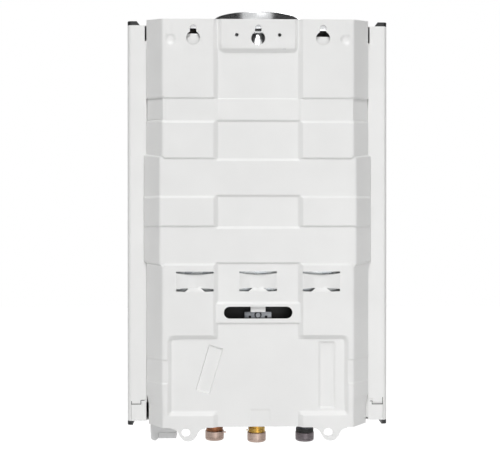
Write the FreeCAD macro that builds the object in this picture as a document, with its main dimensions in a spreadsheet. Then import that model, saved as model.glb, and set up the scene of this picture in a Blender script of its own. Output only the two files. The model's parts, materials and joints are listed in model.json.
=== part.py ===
"""Wall-hung propane water heater, as an assembly of separate pieces.

Millimetres. +Z is up and +Y points at the wall. The origin is midway between the two outer
keyholes, on the plane that meets the wall, so the whole heater lies at negative Y.
"""
import FreeCAD
import Part
import math
import os
from FreeCAD import Placement, Rotation, Vector

# Driving dimensions: alias, value in millimetres (degrees or a count where it says so), meaning.
DIMENSIONS = [
    ("gauge", 0.8, "steel sheet of every pressed piece"),
    ("seat", 0.3, "gap left between pieces that are set against each other"),
    ("running", 0.05, "radial clearance of a shaft or pipe in its hole"),
    # rear casing
    ("casing_top", 20.7, "top edge above the origin"),
    ("chamfer_wide", 19.7, "width of the slanted side bands"),
    ("wall_room", 2.0, "room between the hot pipe and the casing's side wall"),
    ("bulge", 3.0, "how far the middle section stands out on each side"),
    ("row_two_tall", 41.1, "flat row under the first band, height"),
    ("louvre_over", 12.2, "flat strip over the louvres"),
    ("foot_inset", 2.5, "how far the lowest stretch stands in on each side"),
    ("foot_tall", 28.8, "height of the lowest stretch"),
    ("chamfer_deep", 22.0, "depth of the slanted side bands"),
    ("wall_deep", 40.0, "depth of the side walls"),
    ("top_lip", 12.0, "depth of the top wall"),
    ("bottom_lip", 30.0, "depth of the bottom wall"),
    ("band_deep", 2.0, "depth of the first embossed level"),
    ("field_deep", 4.0, "depth of the second embossed level"),
    ("column_half", 45.1, "half width of the centre column's floor"),
    ("hang_panel_half", 40.5, "half width of the raised panel at the centre keyhole"),
    ("hang_panel_drop", 13.4, "bottom of that panel, below the origin"),
    ("band_one_top", 65.8, "first band, top"),
    ("band_one_tall", 24.6, "first band, height"),
    ("band_two_tall", 40.9, "second band, height"),
    ("row_three_tall", 33.4, "flat row under the second band, height"),
    ("shelf_over", 11.7, "top of the band with the obround slot, above the slot's centre"),
    ("shelf_under", 12.3, "bottom of that band, below the slot's centre"),
    ("field_half", 95.0, "half width of the lower field"),
    ("field_under", 13.9, "top of the lower field, below that band"),
    ("pad_tall", 12.9, "height of the pads above the bottom edge"),
    ("keyhole_pitch", 71.0, "distance between keyholes"),
    ("keyhole_round", 7.6, "radius of the keyhole's entry"),
    ("keyhole_slot", 7.1, "width of the keyhole's slot"),
    ("keyhole_rise", 14.6, "top of the keyhole's slot"),
    ("dimple_reach", 96.0, "round dimples, from the middle"),
    ("dimple_round", 5.8, "round dimples, radius"),
    ("emboss_deep", 1.0, "depth of the dimples and the two embossed rectangles"),
    ("side_dip_near", 99.0, "shallow dips low on the side bands, inner end, from the middle"),
    ("side_dip_under", 23.3, "top of those dips, below the field's top"),
    ("side_dip_tall", 24.0, "height of those dips"),
    ("slot_half", 37.5, "half length of the obround slot"),
    ("slot_under", 8.0, "centre of the obround slot, below the burner frame"),
    ("slot_tall", 13.1, "height of the obround slot"),
    ("slot_tab_half", 8.2, "half width of the tab in the slot"),
    ("louvre_half", 20.5, "half length of a louvre"),
    ("louvre_reach", 69.0, "outer louvres, from the middle"),
    ("louvre_tall", 15.0, "height of the louvre strip"),
    ("louvre_under", 14.8, "bottom of the louvre strip, above the slot's band"),
    ("louvre_deep", 4.0, "how far the strip bows in"),
    ("slit_thin", 2.5, "height of the slit above the strip"),
    ("slit_thick", 4.0, "height of the slit below the strip"),
    ("plate_tall", 72.6, "height of the upright embossed rectangle"),
    ("plate_wide", 17.2, "width of the upright embossed rectangle"),
    ("plate_reach", 74.9, "its centre, from the middle"),
    ("plate_over", 44.6, "its centre, above the field's bottom"),
    ("slant_tall", 50.0, "height of the slanted embossed rectangle"),
    ("slant_wide", 16.5, "width of the slanted embossed rectangle"),
    ("slant_reach", 54.3, "its centre, from the middle"),
    ("slant_over", 51.2, "its centre, above the field's bottom"),
    ("slant_turn", 16.0, "its lean, degrees"),
    ("lug_reach", 77.5, "wall lugs, from the middle"),
    ("lug_under", 6.8, "centre of the lug's hole, below the bottom edge"),
    ("lug_round", 9.6, "outer radius of a lug"),
    ("lug_flare", 9.0, "radius of the flare from the lug to the bottom edge"),
    ("lug_hole_long", 11.0, "lug hole, length"),
    ("lug_hole_tall", 8.0, "lug hole, height"),
    # front cover and panels
    ("flange_wide", 18.5, "width of the cover's rear flanges"),
    ("cover_rear", 26.0, "plane of the cover's rear flanges, from the wall"),
    ("front_room", 25.0, "room in front of the chamber, up to the cover"),
    ("hood_room", 9.0, "room over the draft hood, up to the cover's top"),
    ("control_room", 131.0, "room under the burner frame for the valves"),
    ("front_round", 10.0, "radius of the cover's front edges"),
    ("rear_round", 4.5, "radius of the cover's rear folds"),
    ("flange_slit", 2.0, "gap beside the flange at the top"),
    ("flange_slit_drop", 7.0, "how far that gap runs below the origin"),
    ("corner_tall", 19.5, "height of the bottom panel's corner lugs"),
    ("seam_step", 4.2, "rise of the seam next to the casing"),
    ("seam_step_wide", 10.0, "width of that raised stretch"),
    ("lip_wide", 12.0, "inner lips that take the panel screws"),
    ("cap_tall", 4.5, "height of the top caps and bottom feet"),
    ("cap_wide", 14.0, "width of a top cap at its base"),
    ("cap_slant", 3.5, "lean of a top cap's inner side"),
    ("foot_wide", 6.0, "width of a bottom foot"),
    ("screw_round", 2.0, "radius of the panel screws"),
    ("screw_long", 9.0, "length of the panel screws"),
    ("screw_head", 4.0, "head radius of the panel screws"),
    ("screw_head_tall", 2.2, "head height of the panel screws"),
    ("screw_inset", 27.5, "panel screws, from the cover's sides"),
    # flue and burner stack
    ("stack_back", 20.0, "back of chamber and burner frame, from the wall"),
    ("stack_half", 96.0, "half width of chamber and burner frame"),
    ("stack_half_deep", 50.0, "half depth of chamber and burner frame"),
    ("collar_round", 47.5, "outer radius of the flue collar"),
    ("collar_top", 34.0, "rim of the flue collar above the origin"),
    ("collar_flange", 1.5, "width of the ring under the collar"),
    ("bead_tall", 2.0, "height of the collar's bead, which the flue pipe stops on"),
    ("bead_proud", 1.2, "how far that bead stands out"),
    ("hood_top", 10.0, "top of the draft hood above the origin"),
    ("hood_foot", 52.0, "bottom of the draft hood, below the origin"),
    ("hood_lap", 10.5, "how far the hood's top reaches past the collar"),
    ("chamber_tall", 163.0, "height of the combustion chamber"),
    ("frame_tall", 77.0, "height of the burner frame"),
    ("fin_count", 31, "fins in the exchanger, a count"),
    ("fin_pitch", 6.0, "distance between fins"),
    ("fin_gauge", 0.5, "thickness of a fin"),
    ("fin_under", 2.0, "top of the fins, below the chamber's rim"),
    ("fin_tall", 41.0, "height of the fins"),
    ("fin_room", 4.0, "room before and behind the fins"),
    ("pipe_round", 6.0, "outer radius of every water and gas pipe"),
    ("pipe_wall", 0.8, "wall of those pipes"),
    ("pipe_bend", 14.0, "bend radius of the pipes"),
    ("tube_pitch", 24.0, "distance between the exchanger's tubes"),
    ("turn_out", 4.0, "where the return bends start, outside the chamber"),
    ("coil_rise", 50.0, "height that the coil climbs round the chamber"),
    ("coil_under", 55.0, "last turn round the chamber, below the fins"),
    ("coil_tail", 20.0, "where the cold pipe joins the coil, below the chamber"),
    ("riser_out", 16.0, "riser from the coil to the exchanger, from the chamber's side"),
    ("downpipe_out", 4.0, "hot pipe's downward run, outside the riser"),
    ("blade_count", 10, "burner blades, a count"),
    ("blade_pitch", 18.0, "distance between burner blades"),
    ("blade_wide", 9.0, "thickness of a burner blade"),
    ("blade_under", 11.0, "top of the blades, below the chamber"),
    ("blade_tall", 50.0, "height of the blades"),
    ("blade_room", 6.0, "room before and behind the blades"),
    ("flame_slot", 3.0, "width of the flame slot in a blade"),
    ("venturi_round", 4.5, "radius of a blade's inlet"),
    ("venturi_over", 14.0, "inlets, nozzles and manifold, above the blades' bottom"),
    ("rail_tall", 3.0, "height of the rails under the blades"),
    ("manifold_deep", 12.0, "depth of the gas manifold"),
    ("manifold_tall", 16.0, "height of the gas manifold"),
    ("manifold_inset", 6.0, "ends of the gas manifold, inside the burner frame's sides"),
    ("manifold_gap", 2.0, "gap between manifold and burner frame"),
    ("nozzle_round", 2.5, "radius of a gas nozzle"),
    ("nozzle_bore", 0.5, "radius of a nozzle's jet"),
    ("nozzle_long", 9.0, "length of a gas nozzle"),
    ("electrode_reach", 27.0, "electrodes, from the middle"),
    ("electrode_under", 5.0, "electrodes, below the chamber"),
    ("electrode_round", 2.6, "radius of an electrode's ceramic"),
    ("electrode_tip", 0.9, "radius of an electrode's wire"),
    ("thermostat_round", 8.0, "radius of the overheat thermostat"),
    ("thermostat_deep", 5.0, "thickness of the overheat thermostat"),
    ("thermostat_under", 11.0, "its centre, below the fins"),
    ("bracket_reach", 75.0, "chamber brackets, from the middle"),
    ("bracket_wide", 18.0, "width of the chamber brackets"),
    ("bracket_tall", 12.0, "height of the chamber brackets"),
    ("bracket_over", 6.5, "lower chamber brackets, above the burner frame's bottom"),
    ("hood_bracket_half", 30.0, "half width of the hood bracket"),
    ("hood_bracket_tall", 21.0, "height of the hood bracket"),
    ("rivet_reach", 23.4, "small holes beside the centre keyhole, from the middle"),
    ("rivet_rise", 3.5, "those holes above the origin"),
    ("rivet_round", 2.0, "radius of those holes"),
    ("slot_bracket_half", 15.0, "half width of the bracket in the slot"),
    ("slot_bracket_deep", 8.0, "its face, from the wall"),
    ("slot_bracket_under", 7.0, "its lower edge, below the slot's centre"),
    ("slot_screw_head", 2.6, "head radius of its screw"),
    ("slot_screw_round", 1.5, "radius of its screw"),
    ("slot_screw_under", 3.2, "its screw, below the slot's centre"),
    # connections
    ("stub_deep", 60.0, "pipe connections, from the wall"),
    ("stub_round", 10.48, "radius of a G 1/2 thread"),
    ("stub_bore", 7.0, "bore of a connection"),
    ("stub_out", 31.0, "how far the connections stand out below"),
    ("stub_bevel", 1.6, "bevel at a connection's lower end"),
    ("stub_in", 11.0, "how far the hot connection stands inside"),
    ("hot_reach", 48.6, "hot water connection, from the middle"),
    ("gas_reach", 55.7, "gas connection, from the middle"),
    ("relief_tall", 1.5, "height of the thread relief under a locknut"),
    ("relief_deep", 0.6, "depth of the thread relief"),
    ("nut_wide", 14.5, "corner radius of the locknuts"),
    ("nut_tall", 6.0, "height of the locknuts"),
    ("pipe_nut_wide", 10.5, "corner radius of the pipe nuts"),
    ("pipe_nut_tall", 10.0, "height of the pipe nuts"),
    ("filter_round", 6.7, "outer radius of the inlet filter"),
    ("filter_wall", 0.5, "wall of the inlet filter"),
    ("filter_tall", 24.0, "height of the inlet filter"),
    # linkage valve
    ("valve_deep", 62.0, "axis of the linkage valve, from the wall"),
    ("valve_under", 38.0, "axis of the linkage valve, above the valve bodies' bottom"),
    ("valve_over", 13.0, "bottom of both valve bodies, above the bottom panel"),
    ("valve_before", 28.0, "front of the valve bodies, before their axis"),
    ("valve_behind", 16.0, "back of the valve bodies, behind their axis"),
    ("valve_round", 4.0, "radius of the valve bodies' edges"),
    ("diaphragm_reach", 14.0, "diaphragm's water side, from the middle"),
    ("diaphragm_gauge", 1.2, "thickness of the diaphragm"),
    ("flange_round", 32.0, "radius of the diaphragm flanges"),
    ("flange_tall", 8.0, "thickness of each diaphragm flange"),
    ("cavity_round", 24.0, "radius of the diaphragm chambers"),
    ("cavity_deep", 6.8, "depth of the diaphragm chambers"),
    ("hub_long", 3.8, "length of the cover's hub"),
    ("hub_round", 6.0, "radius of the cover's hub"),
    ("water_valve_wide", 34.0, "width of the water valve's block"),
    ("water_valve_tall", 64.0, "height of the water valve"),
    ("water_outlet_reach", 16.0, "water valve's outlet, from the middle"),
    ("gas_valve_near", 36.0, "gas valve's inner face, from the middle"),
    ("gas_valve_long", 54.0, "length of the gas valve"),
    ("gas_valve_tall", 72.0, "height of the gas valve"),
    ("gas_wall", 4.0, "wall of the gas valve"),
    ("outlet_chamber", 8.0, "length of the gas outlet chamber"),
    ("valve_seat", 3.0, "thickness of the wall with the valve seat"),
    ("orifice_round", 6.0, "radius of the valve seat"),
    ("gas_chamber_round", 10.0, "radius of the gas chambers"),
    ("gas_port_round", 4.5, "radius of the gas passages"),
    ("gallery_under", 23.0, "gas gallery, below the valve's axis"),
    ("riser_round", 2.6, "radius of the port that the plunger closes"),
    ("spring_chamber", 20.0, "length of the gas valve's inlet chamber"),
    ("rod_round", 2.0, "radius of the push rod"),
    ("plate_round", 18.0, "radius of the push rod's plate"),
    ("plate_gauge", 2.0, "thickness of the push rod's plate"),
    ("rod_collar_round", 4.0, "radius of the collar that moves the switch lever"),
    ("rod_collar_long", 1.2, "length of that collar"),
    ("collar_out", 6.9, "that collar's near face, from the gas valve"),
    ("disc_round", 8.5, "radius of the gas valve disc"),
    ("disc_gauge", 3.0, "thickness of the gas valve disc"),
    ("spring_round", 6.0, "mean radius of the gas valve spring"),
    ("spring_wire", 0.6, "wire radius of that spring"),
    ("spring_turns", 6, "turns of that spring, a count"),
    ("post_round", 3.0, "radius of the posts between the valves"),
    ("post_offset", 20.0, "posts, from the valve's axis"),
    ("switch_wide", 10.0, "width and depth of the microswitch"),
    ("switch_above", 13.0, "top of the microswitch, above the lever's axis"),
    ("switch_below", 3.0, "bottom of the microswitch, below the lever's axis"),
    ("switch_slot", 4.0, "width of its slot"),
    ("lever_over", 19.0, "axis of the lever, above the rod"),
    ("lever_pin", 0.8, "radius of the lever's pin"),
    ("lever_round", 1.7, "radius of the lever's barrel"),
    ("lever_gauge", 0.8, "thickness of the lever"),
    ("lever_grip", 1.0, "how far the lever reaches over the collar"),
    ("coil_inset", 14.0, "solenoid, from the gas valve's outer face"),
    ("coil_round", 12.0, "radius of the solenoid"),
    ("coil_tall", 32.0, "height of the solenoid"),
    ("plunger_round", 3.5, "radius of the plunger"),
    ("plunger_room", 4.3, "room above the plunger, more than its lift"),
    ("cock_reach", 16.0, "drain cock, from the middle"),
    ("cock_inset", 13.0, "drain cock, behind the water valve's front"),
    ("cock_stem", 4.0, "radius of the drain cock's stem"),
    ("cock_in", 10.0, "length of its stem inside the valve"),
    ("cock_head", 8.0, "radius of its head"),
    ("cock_out", 17.0, "how far it stands out below"),
    ("cock_wing", 3.0, "thickness of its wing"),
    # controls
    ("fascia_inset", 27.5, "sides of the fascia, inside the cover's"),
    ("fascia_over", 64.0, "top of the fascia, above the knobs' axis"),
    ("fascia_under", 36.0, "bottom of the fascia, below the knobs' axis"),
    ("fascia_deep", 4.0, "its thickness"),
    ("fascia_round", 10.0, "radius of its corners"),
    ("knob_pitch", 62.0, "distance between knobs"),
    ("knob_over", 22.0, "axis of the knobs, above the valve's axis"),
    ("knob_round", 19.0, "radius of a knob"),
    ("knob_long", 18.0, "length of a knob"),
    ("knob_edge", 2.0, "radius of a knob's front edge"),
    ("flute_count", 16, "flutes round a knob, a count"),
    ("flute_round", 2.2, "radius of a flute"),
    ("pointer_wide", 2.4, "width of a knob's pointer"),
    ("pointer_proud", 1.2, "height of a knob's pointer"),
    ("spindle_round", 3.0, "radius of the knob spindles"),
    ("spindle_grip", 10.0, "depth of a spindle in its knob"),
    ("gland_round", 7.0, "radius of the spindle glands"),
    ("gland_long", 10.0, "length of the spindle glands"),
    ("gland_deep", 14.0, "depth of the spindle in the valve"),
    ("knob_hole", 8.0, "radius of the holes behind the knobs"),
    ("lens_half", 22.0, "half width of the display lens"),
    ("lens_tall", 18.0, "height of the display lens"),
    ("lens_under", 21.0, "centre of the display lens, below the fascia's top"),
    ("lens_deep", 2.0, "thickness of the display lens"),
    ("window_half", 28.0, "half length of the flame window"),
    ("window_tall", 14.0, "height of the flame window"),
    ("window_over", 4.0, "centre of the flame window, above the blades"),
    ("glass_margin", 6.0, "how far the window glass laps the cover"),
    ("glass_gauge", 3.0, "thickness of the window glass"),
    ("box_near", 36.0, "control box, inner side, from the middle"),
    ("box_wide", 44.0, "width of the control box"),
    ("box_deep", 32.0, "depth of the control box"),
    ("box_back", 72.0, "control box, back, from the wall"),
    ("box_over", 25.0, "top of the control box, above the knobs' axis"),
    ("box_round", 3.0, "radius of its edges"),
    ("dial_half", 12.0, "half width of the rotary switch"),
    ("dial_deep", 16.0, "depth of the rotary switch"),
    ("lead_round", 1.0, "radius of the ignition leads"),
    ("lead_bend", 10.0, "bend radius of the leads"),
    ("lead_room", 7.0, "room between the leads' centres and the cover's front"),
    ("lead_under", 13.0, "where the leads cross, below the burner frame"),
    # battery compartment
    ("cell_round", 13.1, "radius of a C cell"),
    ("cell_tall", 50.0, "height of a C cell"),
    ("cell_room", 0.4, "room round the cells"),
    ("cell_cap_round", 3.5, "radius of a cell's cap"),
    ("cell_cap_tall", 1.5, "height of a cell's cap"),
    ("battery_wall", 1.0, "wall of the battery box"),
    ("battery_inset", 39.0, "battery box, centre, from the cover's side"),
    ("battery_back", 42.0, "battery box, back, from the wall"),
    ("battery_out", 16.5, "how far the battery box stands out below"),
    ("lid_thick", 6.6, "thickness of the battery lid"),
    ("barrel_round", 4.6, "radius of the lid's barrel"),
    ("barrel_under", 5.0, "axis of the lid's barrel, below the box's mouth"),
    ("barrel_pin", 1.5, "radius of the lid's pin"),
    ("ear_thick", 1.8, "thickness of the ears that carry the pin"),
    ("vent_count", 9, "vent slots in the bottom panel, a count"),
    ("vent_pitch", 22.0, "distance between those slots"),
    ("vent_half", 7.0, "half length of those slots"),
    ("vent_wide", 3.0, "width of those slots"),
    ("vent_back", 29.0, "vent slots, behind the cover's front"),
]

doc = FreeCAD.newDocument("water_heater")
sheet = doc.addObject("Spreadsheet::Sheet", "dims")
for row, (alias, value, meaning) in enumerate(DIMENSIONS, 1):
    sheet.set(f"A{row}", str(value))
    sheet.set(f"B{row}", meaning)
    sheet.setAlias(f"A{row}", alias)
doc.recompute()


class Size:
    """A length worked out from the sheet: text binds a property, value places a computed shape."""

    def __init__(self, text, value):
        self.text = text
        self.value = value

    def __add__(self, other):
        other = as_size(other)
        return Size(f"({self.text} + {other.text})", self.value + other.value)

    def __sub__(self, other):
        other = as_size(other)
        return Size(f"({self.text} - {other.text})", self.value - other.value)

    def __mul__(self, other):
        other = as_size(other)
        return Size(f"({self.text} * {other.text})", self.value * other.value)

    def __truediv__(self, other):
        other = as_size(other)
        return Size(f"({self.text} / {other.text})", self.value / other.value)

    def __rsub__(self, other):
        return as_size(other) - self

    def __neg__(self):
        return as_size(0) - self

    __radd__ = __add__
    __rmul__ = __mul__


def as_size(thing):
    return thing if isinstance(thing, Size) else Size(str(thing), thing)


class Dimensions:
    """Every alias of the sheet as an attribute."""

    def __init__(self):
        for alias, _, _ in DIMENSIONS:
            setattr(self, alias, Size(f"dims.{alias}", float(sheet.get(alias))))


mm = Dimensions()
nodes = []

# What follows from other sizes, so that pieces stay together when one changes.
mm.band_one_foot = mm.band_one_top + mm.band_one_tall
mm.bulge_top = mm.band_one_foot + mm.row_two_tall
mm.band_two_foot = mm.bulge_top + mm.band_two_tall
mm.band_three_top = mm.band_two_foot + mm.row_three_tall
mm.cover_top = mm.hood_top + mm.hood_room
mm.stack_deep = mm.stack_back + mm.stack_half_deep
mm.cover_deep = mm.stack_deep + mm.stack_half_deep + mm.front_room
mm.chamber_foot = mm.hood_foot + mm.chamber_tall
mm.frame_foot = mm.chamber_foot + mm.frame_tall
mm.slot_drop = mm.frame_foot + mm.slot_under
mm.shelf_top = mm.slot_drop - mm.shelf_over
mm.shelf_foot = mm.slot_drop + mm.shelf_under
mm.field_top = mm.shelf_foot + mm.field_under
mm.side_dip_top = mm.field_top + mm.side_dip_under
mm.side_dip_foot = mm.side_dip_top + mm.side_dip_tall
mm.louvre_foot = mm.shelf_top - mm.louvre_under
mm.louvre_top = mm.louvre_foot - mm.louvre_tall
mm.bulge_foot = mm.louvre_top - mm.louvre_over
mm.cover_drop = mm.frame_foot + mm.control_room
mm.casing_drop = mm.cover_drop + mm.gauge
mm.foot_drop = mm.casing_drop - mm.foot_tall
mm.field_foot = mm.casing_drop - mm.pad_tall
mm.plate_drop = mm.field_foot - mm.plate_over
mm.slant_drop = mm.field_foot - mm.slant_over
mm.lug_drop = mm.casing_drop + mm.lug_under
mm.seam_drop = mm.cover_drop - mm.corner_tall
mm.fin_top = mm.hood_foot + mm.fin_under
mm.fin_foot = mm.fin_top + mm.fin_tall
mm.fin_half_deep = mm.stack_half_deep - mm.fin_room
mm.tube_drop = mm.fin_top + mm.fin_tall / 2
mm.tube_turn = mm.stack_half + mm.turn_out
mm.coil_high = mm.fin_foot + mm.coil_under
mm.coil_low = mm.coil_high + mm.coil_rise
mm.coil_start = mm.chamber_foot + mm.coil_tail
mm.riser_reach = mm.stack_half + mm.riser_out
mm.downpipe_reach = mm.riser_reach + mm.downpipe_out
mm.side_half = mm.downpipe_reach + mm.pipe_round + mm.wall_room
mm.face_half = mm.side_half - mm.chamfer_wide
mm.cover_half = mm.side_half + mm.bulge + mm.flange_wide
mm.screw_reach = mm.cover_half - mm.screw_inset
mm.blade_top = mm.chamber_foot + mm.blade_under
mm.blade_foot = mm.blade_top + mm.blade_tall
mm.blade_half_deep = mm.stack_half_deep - mm.blade_room
mm.venturi_drop = mm.blade_foot - mm.venturi_over
mm.manifold_half = mm.stack_half - mm.manifold_inset
mm.electrode_drop = mm.chamber_foot + mm.electrode_under
mm.thermostat_drop = mm.fin_foot + mm.thermostat_under
mm.upper_bracket_drop = (mm.band_one_foot + mm.bulge_top) / 2
mm.lower_bracket_drop = mm.frame_foot - mm.bracket_over
mm.slot_bracket_foot = mm.slot_drop + mm.slot_bracket_under
mm.slot_screw_drop = mm.slot_drop + mm.slot_screw_under
mm.stub_foot = mm.cover_drop + mm.stub_out
mm.stub_top = mm.cover_drop - mm.stub_in
mm.valve_foot = mm.cover_drop - mm.valve_over
mm.valve_drop = mm.valve_foot - mm.valve_under
mm.valve_front = mm.valve_deep + mm.valve_before
mm.valve_back = mm.valve_deep - mm.valve_behind
mm.water_valve_top = mm.valve_foot - mm.water_valve_tall
mm.gas_valve_top = mm.valve_foot - mm.gas_valve_tall
mm.gas_valve_far = mm.gas_valve_near + mm.gas_valve_long
mm.gas_outlet_reach = mm.gas_valve_near + mm.gas_wall + mm.outlet_chamber / 2
mm.gallery_drop = mm.valve_drop + mm.gallery_under
mm.rod_collar_reach = mm.gas_valve_near - mm.collar_out
mm.lever_drop = mm.valve_drop - mm.lever_over
mm.switch_top = mm.lever_drop - mm.switch_above
mm.switch_foot = mm.lever_drop + mm.switch_below
mm.coil_reach = mm.gas_valve_far - mm.coil_inset
mm.cock_deep = mm.valve_front - mm.cock_inset
mm.cock_top = mm.valve_foot - mm.cock_in
mm.cock_foot = mm.cover_drop + mm.cock_out
mm.knob_drop = mm.valve_drop - mm.knob_over
mm.fascia_half = mm.cover_half - mm.fascia_inset
mm.fascia_top = mm.knob_drop - mm.fascia_over
mm.fascia_foot = mm.knob_drop + mm.fascia_under
mm.lens_drop = mm.fascia_top + mm.lens_under
mm.window_drop = mm.blade_top - mm.window_over
mm.box_far = mm.box_near + mm.box_wide
mm.box_front = mm.box_back + mm.box_deep
mm.box_top = mm.knob_drop - mm.box_over
mm.lead_deep = mm.cover_deep - mm.lead_room
mm.lead_drop = mm.frame_foot + mm.lead_under
mm.battery_reach = mm.cover_half - mm.battery_inset
mm.battery_foot = mm.cover_drop + mm.battery_out
mm.barrel_drop = mm.battery_foot + mm.barrel_under
mm.vent_deep = mm.cover_deep - mm.vent_back
mm.hood_top_half = mm.collar_round + mm.hood_lap

# Turns that lay an upright primitive along another axis.
ALONG = {
    "x": Rotation(Vector(0, 1, 0), 90),
    "y": Rotation(Vector(1, 0, 0), -90),
    "z": Rotation(),
}


# ---------------------------------------------------------------- building blocks
def bind(thing, **sizes):
    """Tie properties of an object to the sheet."""
    for name, size in sizes.items():
        thing.setExpression(name, as_size(size).text)


def put(thing, x, y, z):
    """Tie an object's position to the sheet."""
    for letter, size in zip("xyz", (x, y, z)):
        thing.setExpression(f"Placement.Base.{letter}", as_size(size).text)


def node(label, thing):
    """Name an object as one finished piece."""
    thing.Label = label
    nodes.append(thing)
    return thing


def box(name, x, y, z):
    """A block between two values on each axis."""
    block = doc.addObject("Part::Box", name)
    bind(block, Length=x[1] - as_size(x[0]), Width=y[1] - as_size(y[0]), Height=z[1] - as_size(z[0]))
    put(block, x[0], y[0], z[0])
    return block


def rod(name, axis, centre, span, radius):
    """A cylinder along an axis; centre gives the two other coordinates."""
    bar = doc.addObject("Part::Cylinder", name)
    bar.Placement = Placement(Vector(), ALONG[axis])
    bind(bar, Radius=radius, Height=span[1] - as_size(span[0]))
    place = list(centre)
    place.insert("xyz".index(axis), span[0])
    put(bar, *place)
    return bar


def cone(name, centre, span, low, high):
    """An upright cone from radius low to radius high."""
    taper = doc.addObject("Part::Cone", name)
    bind(taper, Radius1=low, Radius2=high, Height=span[1] - as_size(span[0]))
    put(taper, centre[0], centre[1], span[0])
    return taper


def hexagon(name, centre, span, corner):
    """An upright six-sided prism."""
    prism = doc.addObject("Part::Prism", name)
    prism.Polygon = 6
    bind(prism, Circumradius=corner, Height=span[1] - as_size(span[0]))
    put(prism, centre[0], centre[1], span[0])
    return prism


def wedge(name, deep, deep_x, deep_z, near, near_x, near_z):
    """A block that tapers along Y, from one rectangle at y=deep to another at y=near."""
    block = doc.addObject("Part::Wedge", name)
    bind(block, Ymin=deep, Xmin=deep_x[0], Xmax=deep_x[1], Zmin=deep_z[0], Zmax=deep_z[1])
    bind(block, Ymax=near, X2min=near_x[0], X2max=near_x[1], Z2min=near_z[0], Z2max=near_z[1])
    return block


def wedge_up(name, low, low_x, low_y, high, high_x, high_y):
    """A block that tapers along Z, from one rectangle at z=low to another at z=high."""
    block = doc.addObject("Part::Wedge", name)
    block.Placement = Placement(Vector(), Rotation(Vector(1, 0, 0), 90))
    low_y = [as_size(value) for value in low_y]
    high_y = [as_size(value) for value in high_y]
    bind(block, Ymin=low, Xmin=low_x[0], Xmax=low_x[1], Zmin=-low_y[1], Zmax=-low_y[0])
    bind(block, Ymax=high, X2min=high_x[0], X2max=high_x[1], Z2min=-high_y[1], Z2max=-high_y[0])
    return block


def fuse(name, *things):
    joined = doc.addObject("Part::MultiFuse", name)
    joined.Shapes = list(things)
    return joined


def cut(name, base, *tools):
    """The base less its tools."""
    result = doc.addObject("Part::Cut", name)
    result.Base = base
    result.Tool = tools[0] if len(tools) == 1 else fuse(f"{name}_tools", *tools)
    return result


def common(name, first, second):
    shared = doc.addObject("Part::Common", name)
    shared.Base = first
    shared.Tool = second
    return shared


def group(name, *things):
    """Separate solids kept as one piece."""
    several = doc.addObject("Part::Compound", name)
    several.Links = list(things)
    return several


def both(size):
    """A span that reaches as far to each side of the middle."""
    return (-size, size)


def about(middle, half):
    """A span round a middle value."""
    return (middle - half, middle + half)


def rounded_block(name, x, y, z, radius, axis):
    """A body: a block whose four edges along one axis are rounded."""
    body = doc.addObject("PartDesign::Body", name)
    block = body.newObject("PartDesign::AdditiveBox", f"{name}_block")
    bind(block, Length=x[1] - as_size(x[0]), Width=y[1] - as_size(y[0]), Height=z[1] - as_size(z[0]))
    put(block, x[0], y[0], z[0])
    doc.recompute()
    way = Vector(*[1.0 if letter == axis else 0.0 for letter in "xyz"])
    edges = []
    for number, edge in enumerate(block.Shape.Edges, 1):
        if edge.tangentAt(0).cross(way).Length < 1e-6:
            edges.append(f"Edge{number}")
    rounding = body.newObject("PartDesign::Fillet", f"{name}_rounding")
    rounding.Base = (block, edges)
    bind(rounding, Radius=radius)
    body.Tip = rounding
    return body


def point(x, y, z):
    return Vector(*[as_size(value).value for value in (x, y, z)])


def route(points, bend):
    """A wire of straight runs joined by tangent arcs of one radius."""
    edges = []
    start = points[0]
    for before, corner, after in zip(points, points[1:], points[2:]):
        into = (corner - before).normalize()
        out = (after - corner).normalize()
        reach = bend * math.tan(into.getAngle(out) / 2)
        enter = corner - into * reach
        leave = corner + out * reach
        inward = (out - into).normalize()
        centre = enter + (inward - into * inward.dot(into)).normalize() * bend
        middle = centre + (corner - centre).normalize() * bend
        edges.append(Part.LineSegment(start, enter).toShape())
        edges.append(Part.Arc(enter, middle, leave).toShape())
        start = leave
    edges.append(Part.LineSegment(start, points[-1]).toShape())
    return Part.Wire(edges)


def swept(wire, points, radius):
    ring = Part.Wire(Part.Circle(points[0], points[1] - points[0], radius).toShape())
    return wire.makePipeShell([ring], True, False)


def pipe_shape(points, radius, bore, bend):
    """A round bar along a route, hollow where bore is more than nothing."""
    wire = route(points, bend)
    solid = swept(wire, points, radius)
    if bore > 0:
        solid = solid.cut(swept(wire, points, bore))
    length = wire.Length * math.pi * (radius**2 - bore**2)
    print(f"  route {wire.Length:7.1f} mm, bend {bend:4.1f} mm, volume over section times length "
          f"{solid.Volume / length:.3f}")
    return solid


def computed(name, shape):
    """A piece whose outline is worked out from the sheet."""
    feature = doc.addObject("Part::Feature", name)
    feature.Shape = shape
    return feature


def water_pipe(name, *points):
    bore = mm.pipe_round.value - mm.pipe_wall.value
    return computed(name, pipe_shape(list(points), mm.pipe_round.value, bore, mm.pipe_bend.value))


def in_a_row(name, source, count, pitch):
    """Copies of a finished object along X, centred on it."""
    doc.recompute()
    offsets = [(number - (count - 1) / 2) * pitch for number in range(count)]
    shape = Part.makeCompound([source.Shape.translated(Vector(offset, 0, 0)) for offset in offsets])
    return computed(name, shape)


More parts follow.
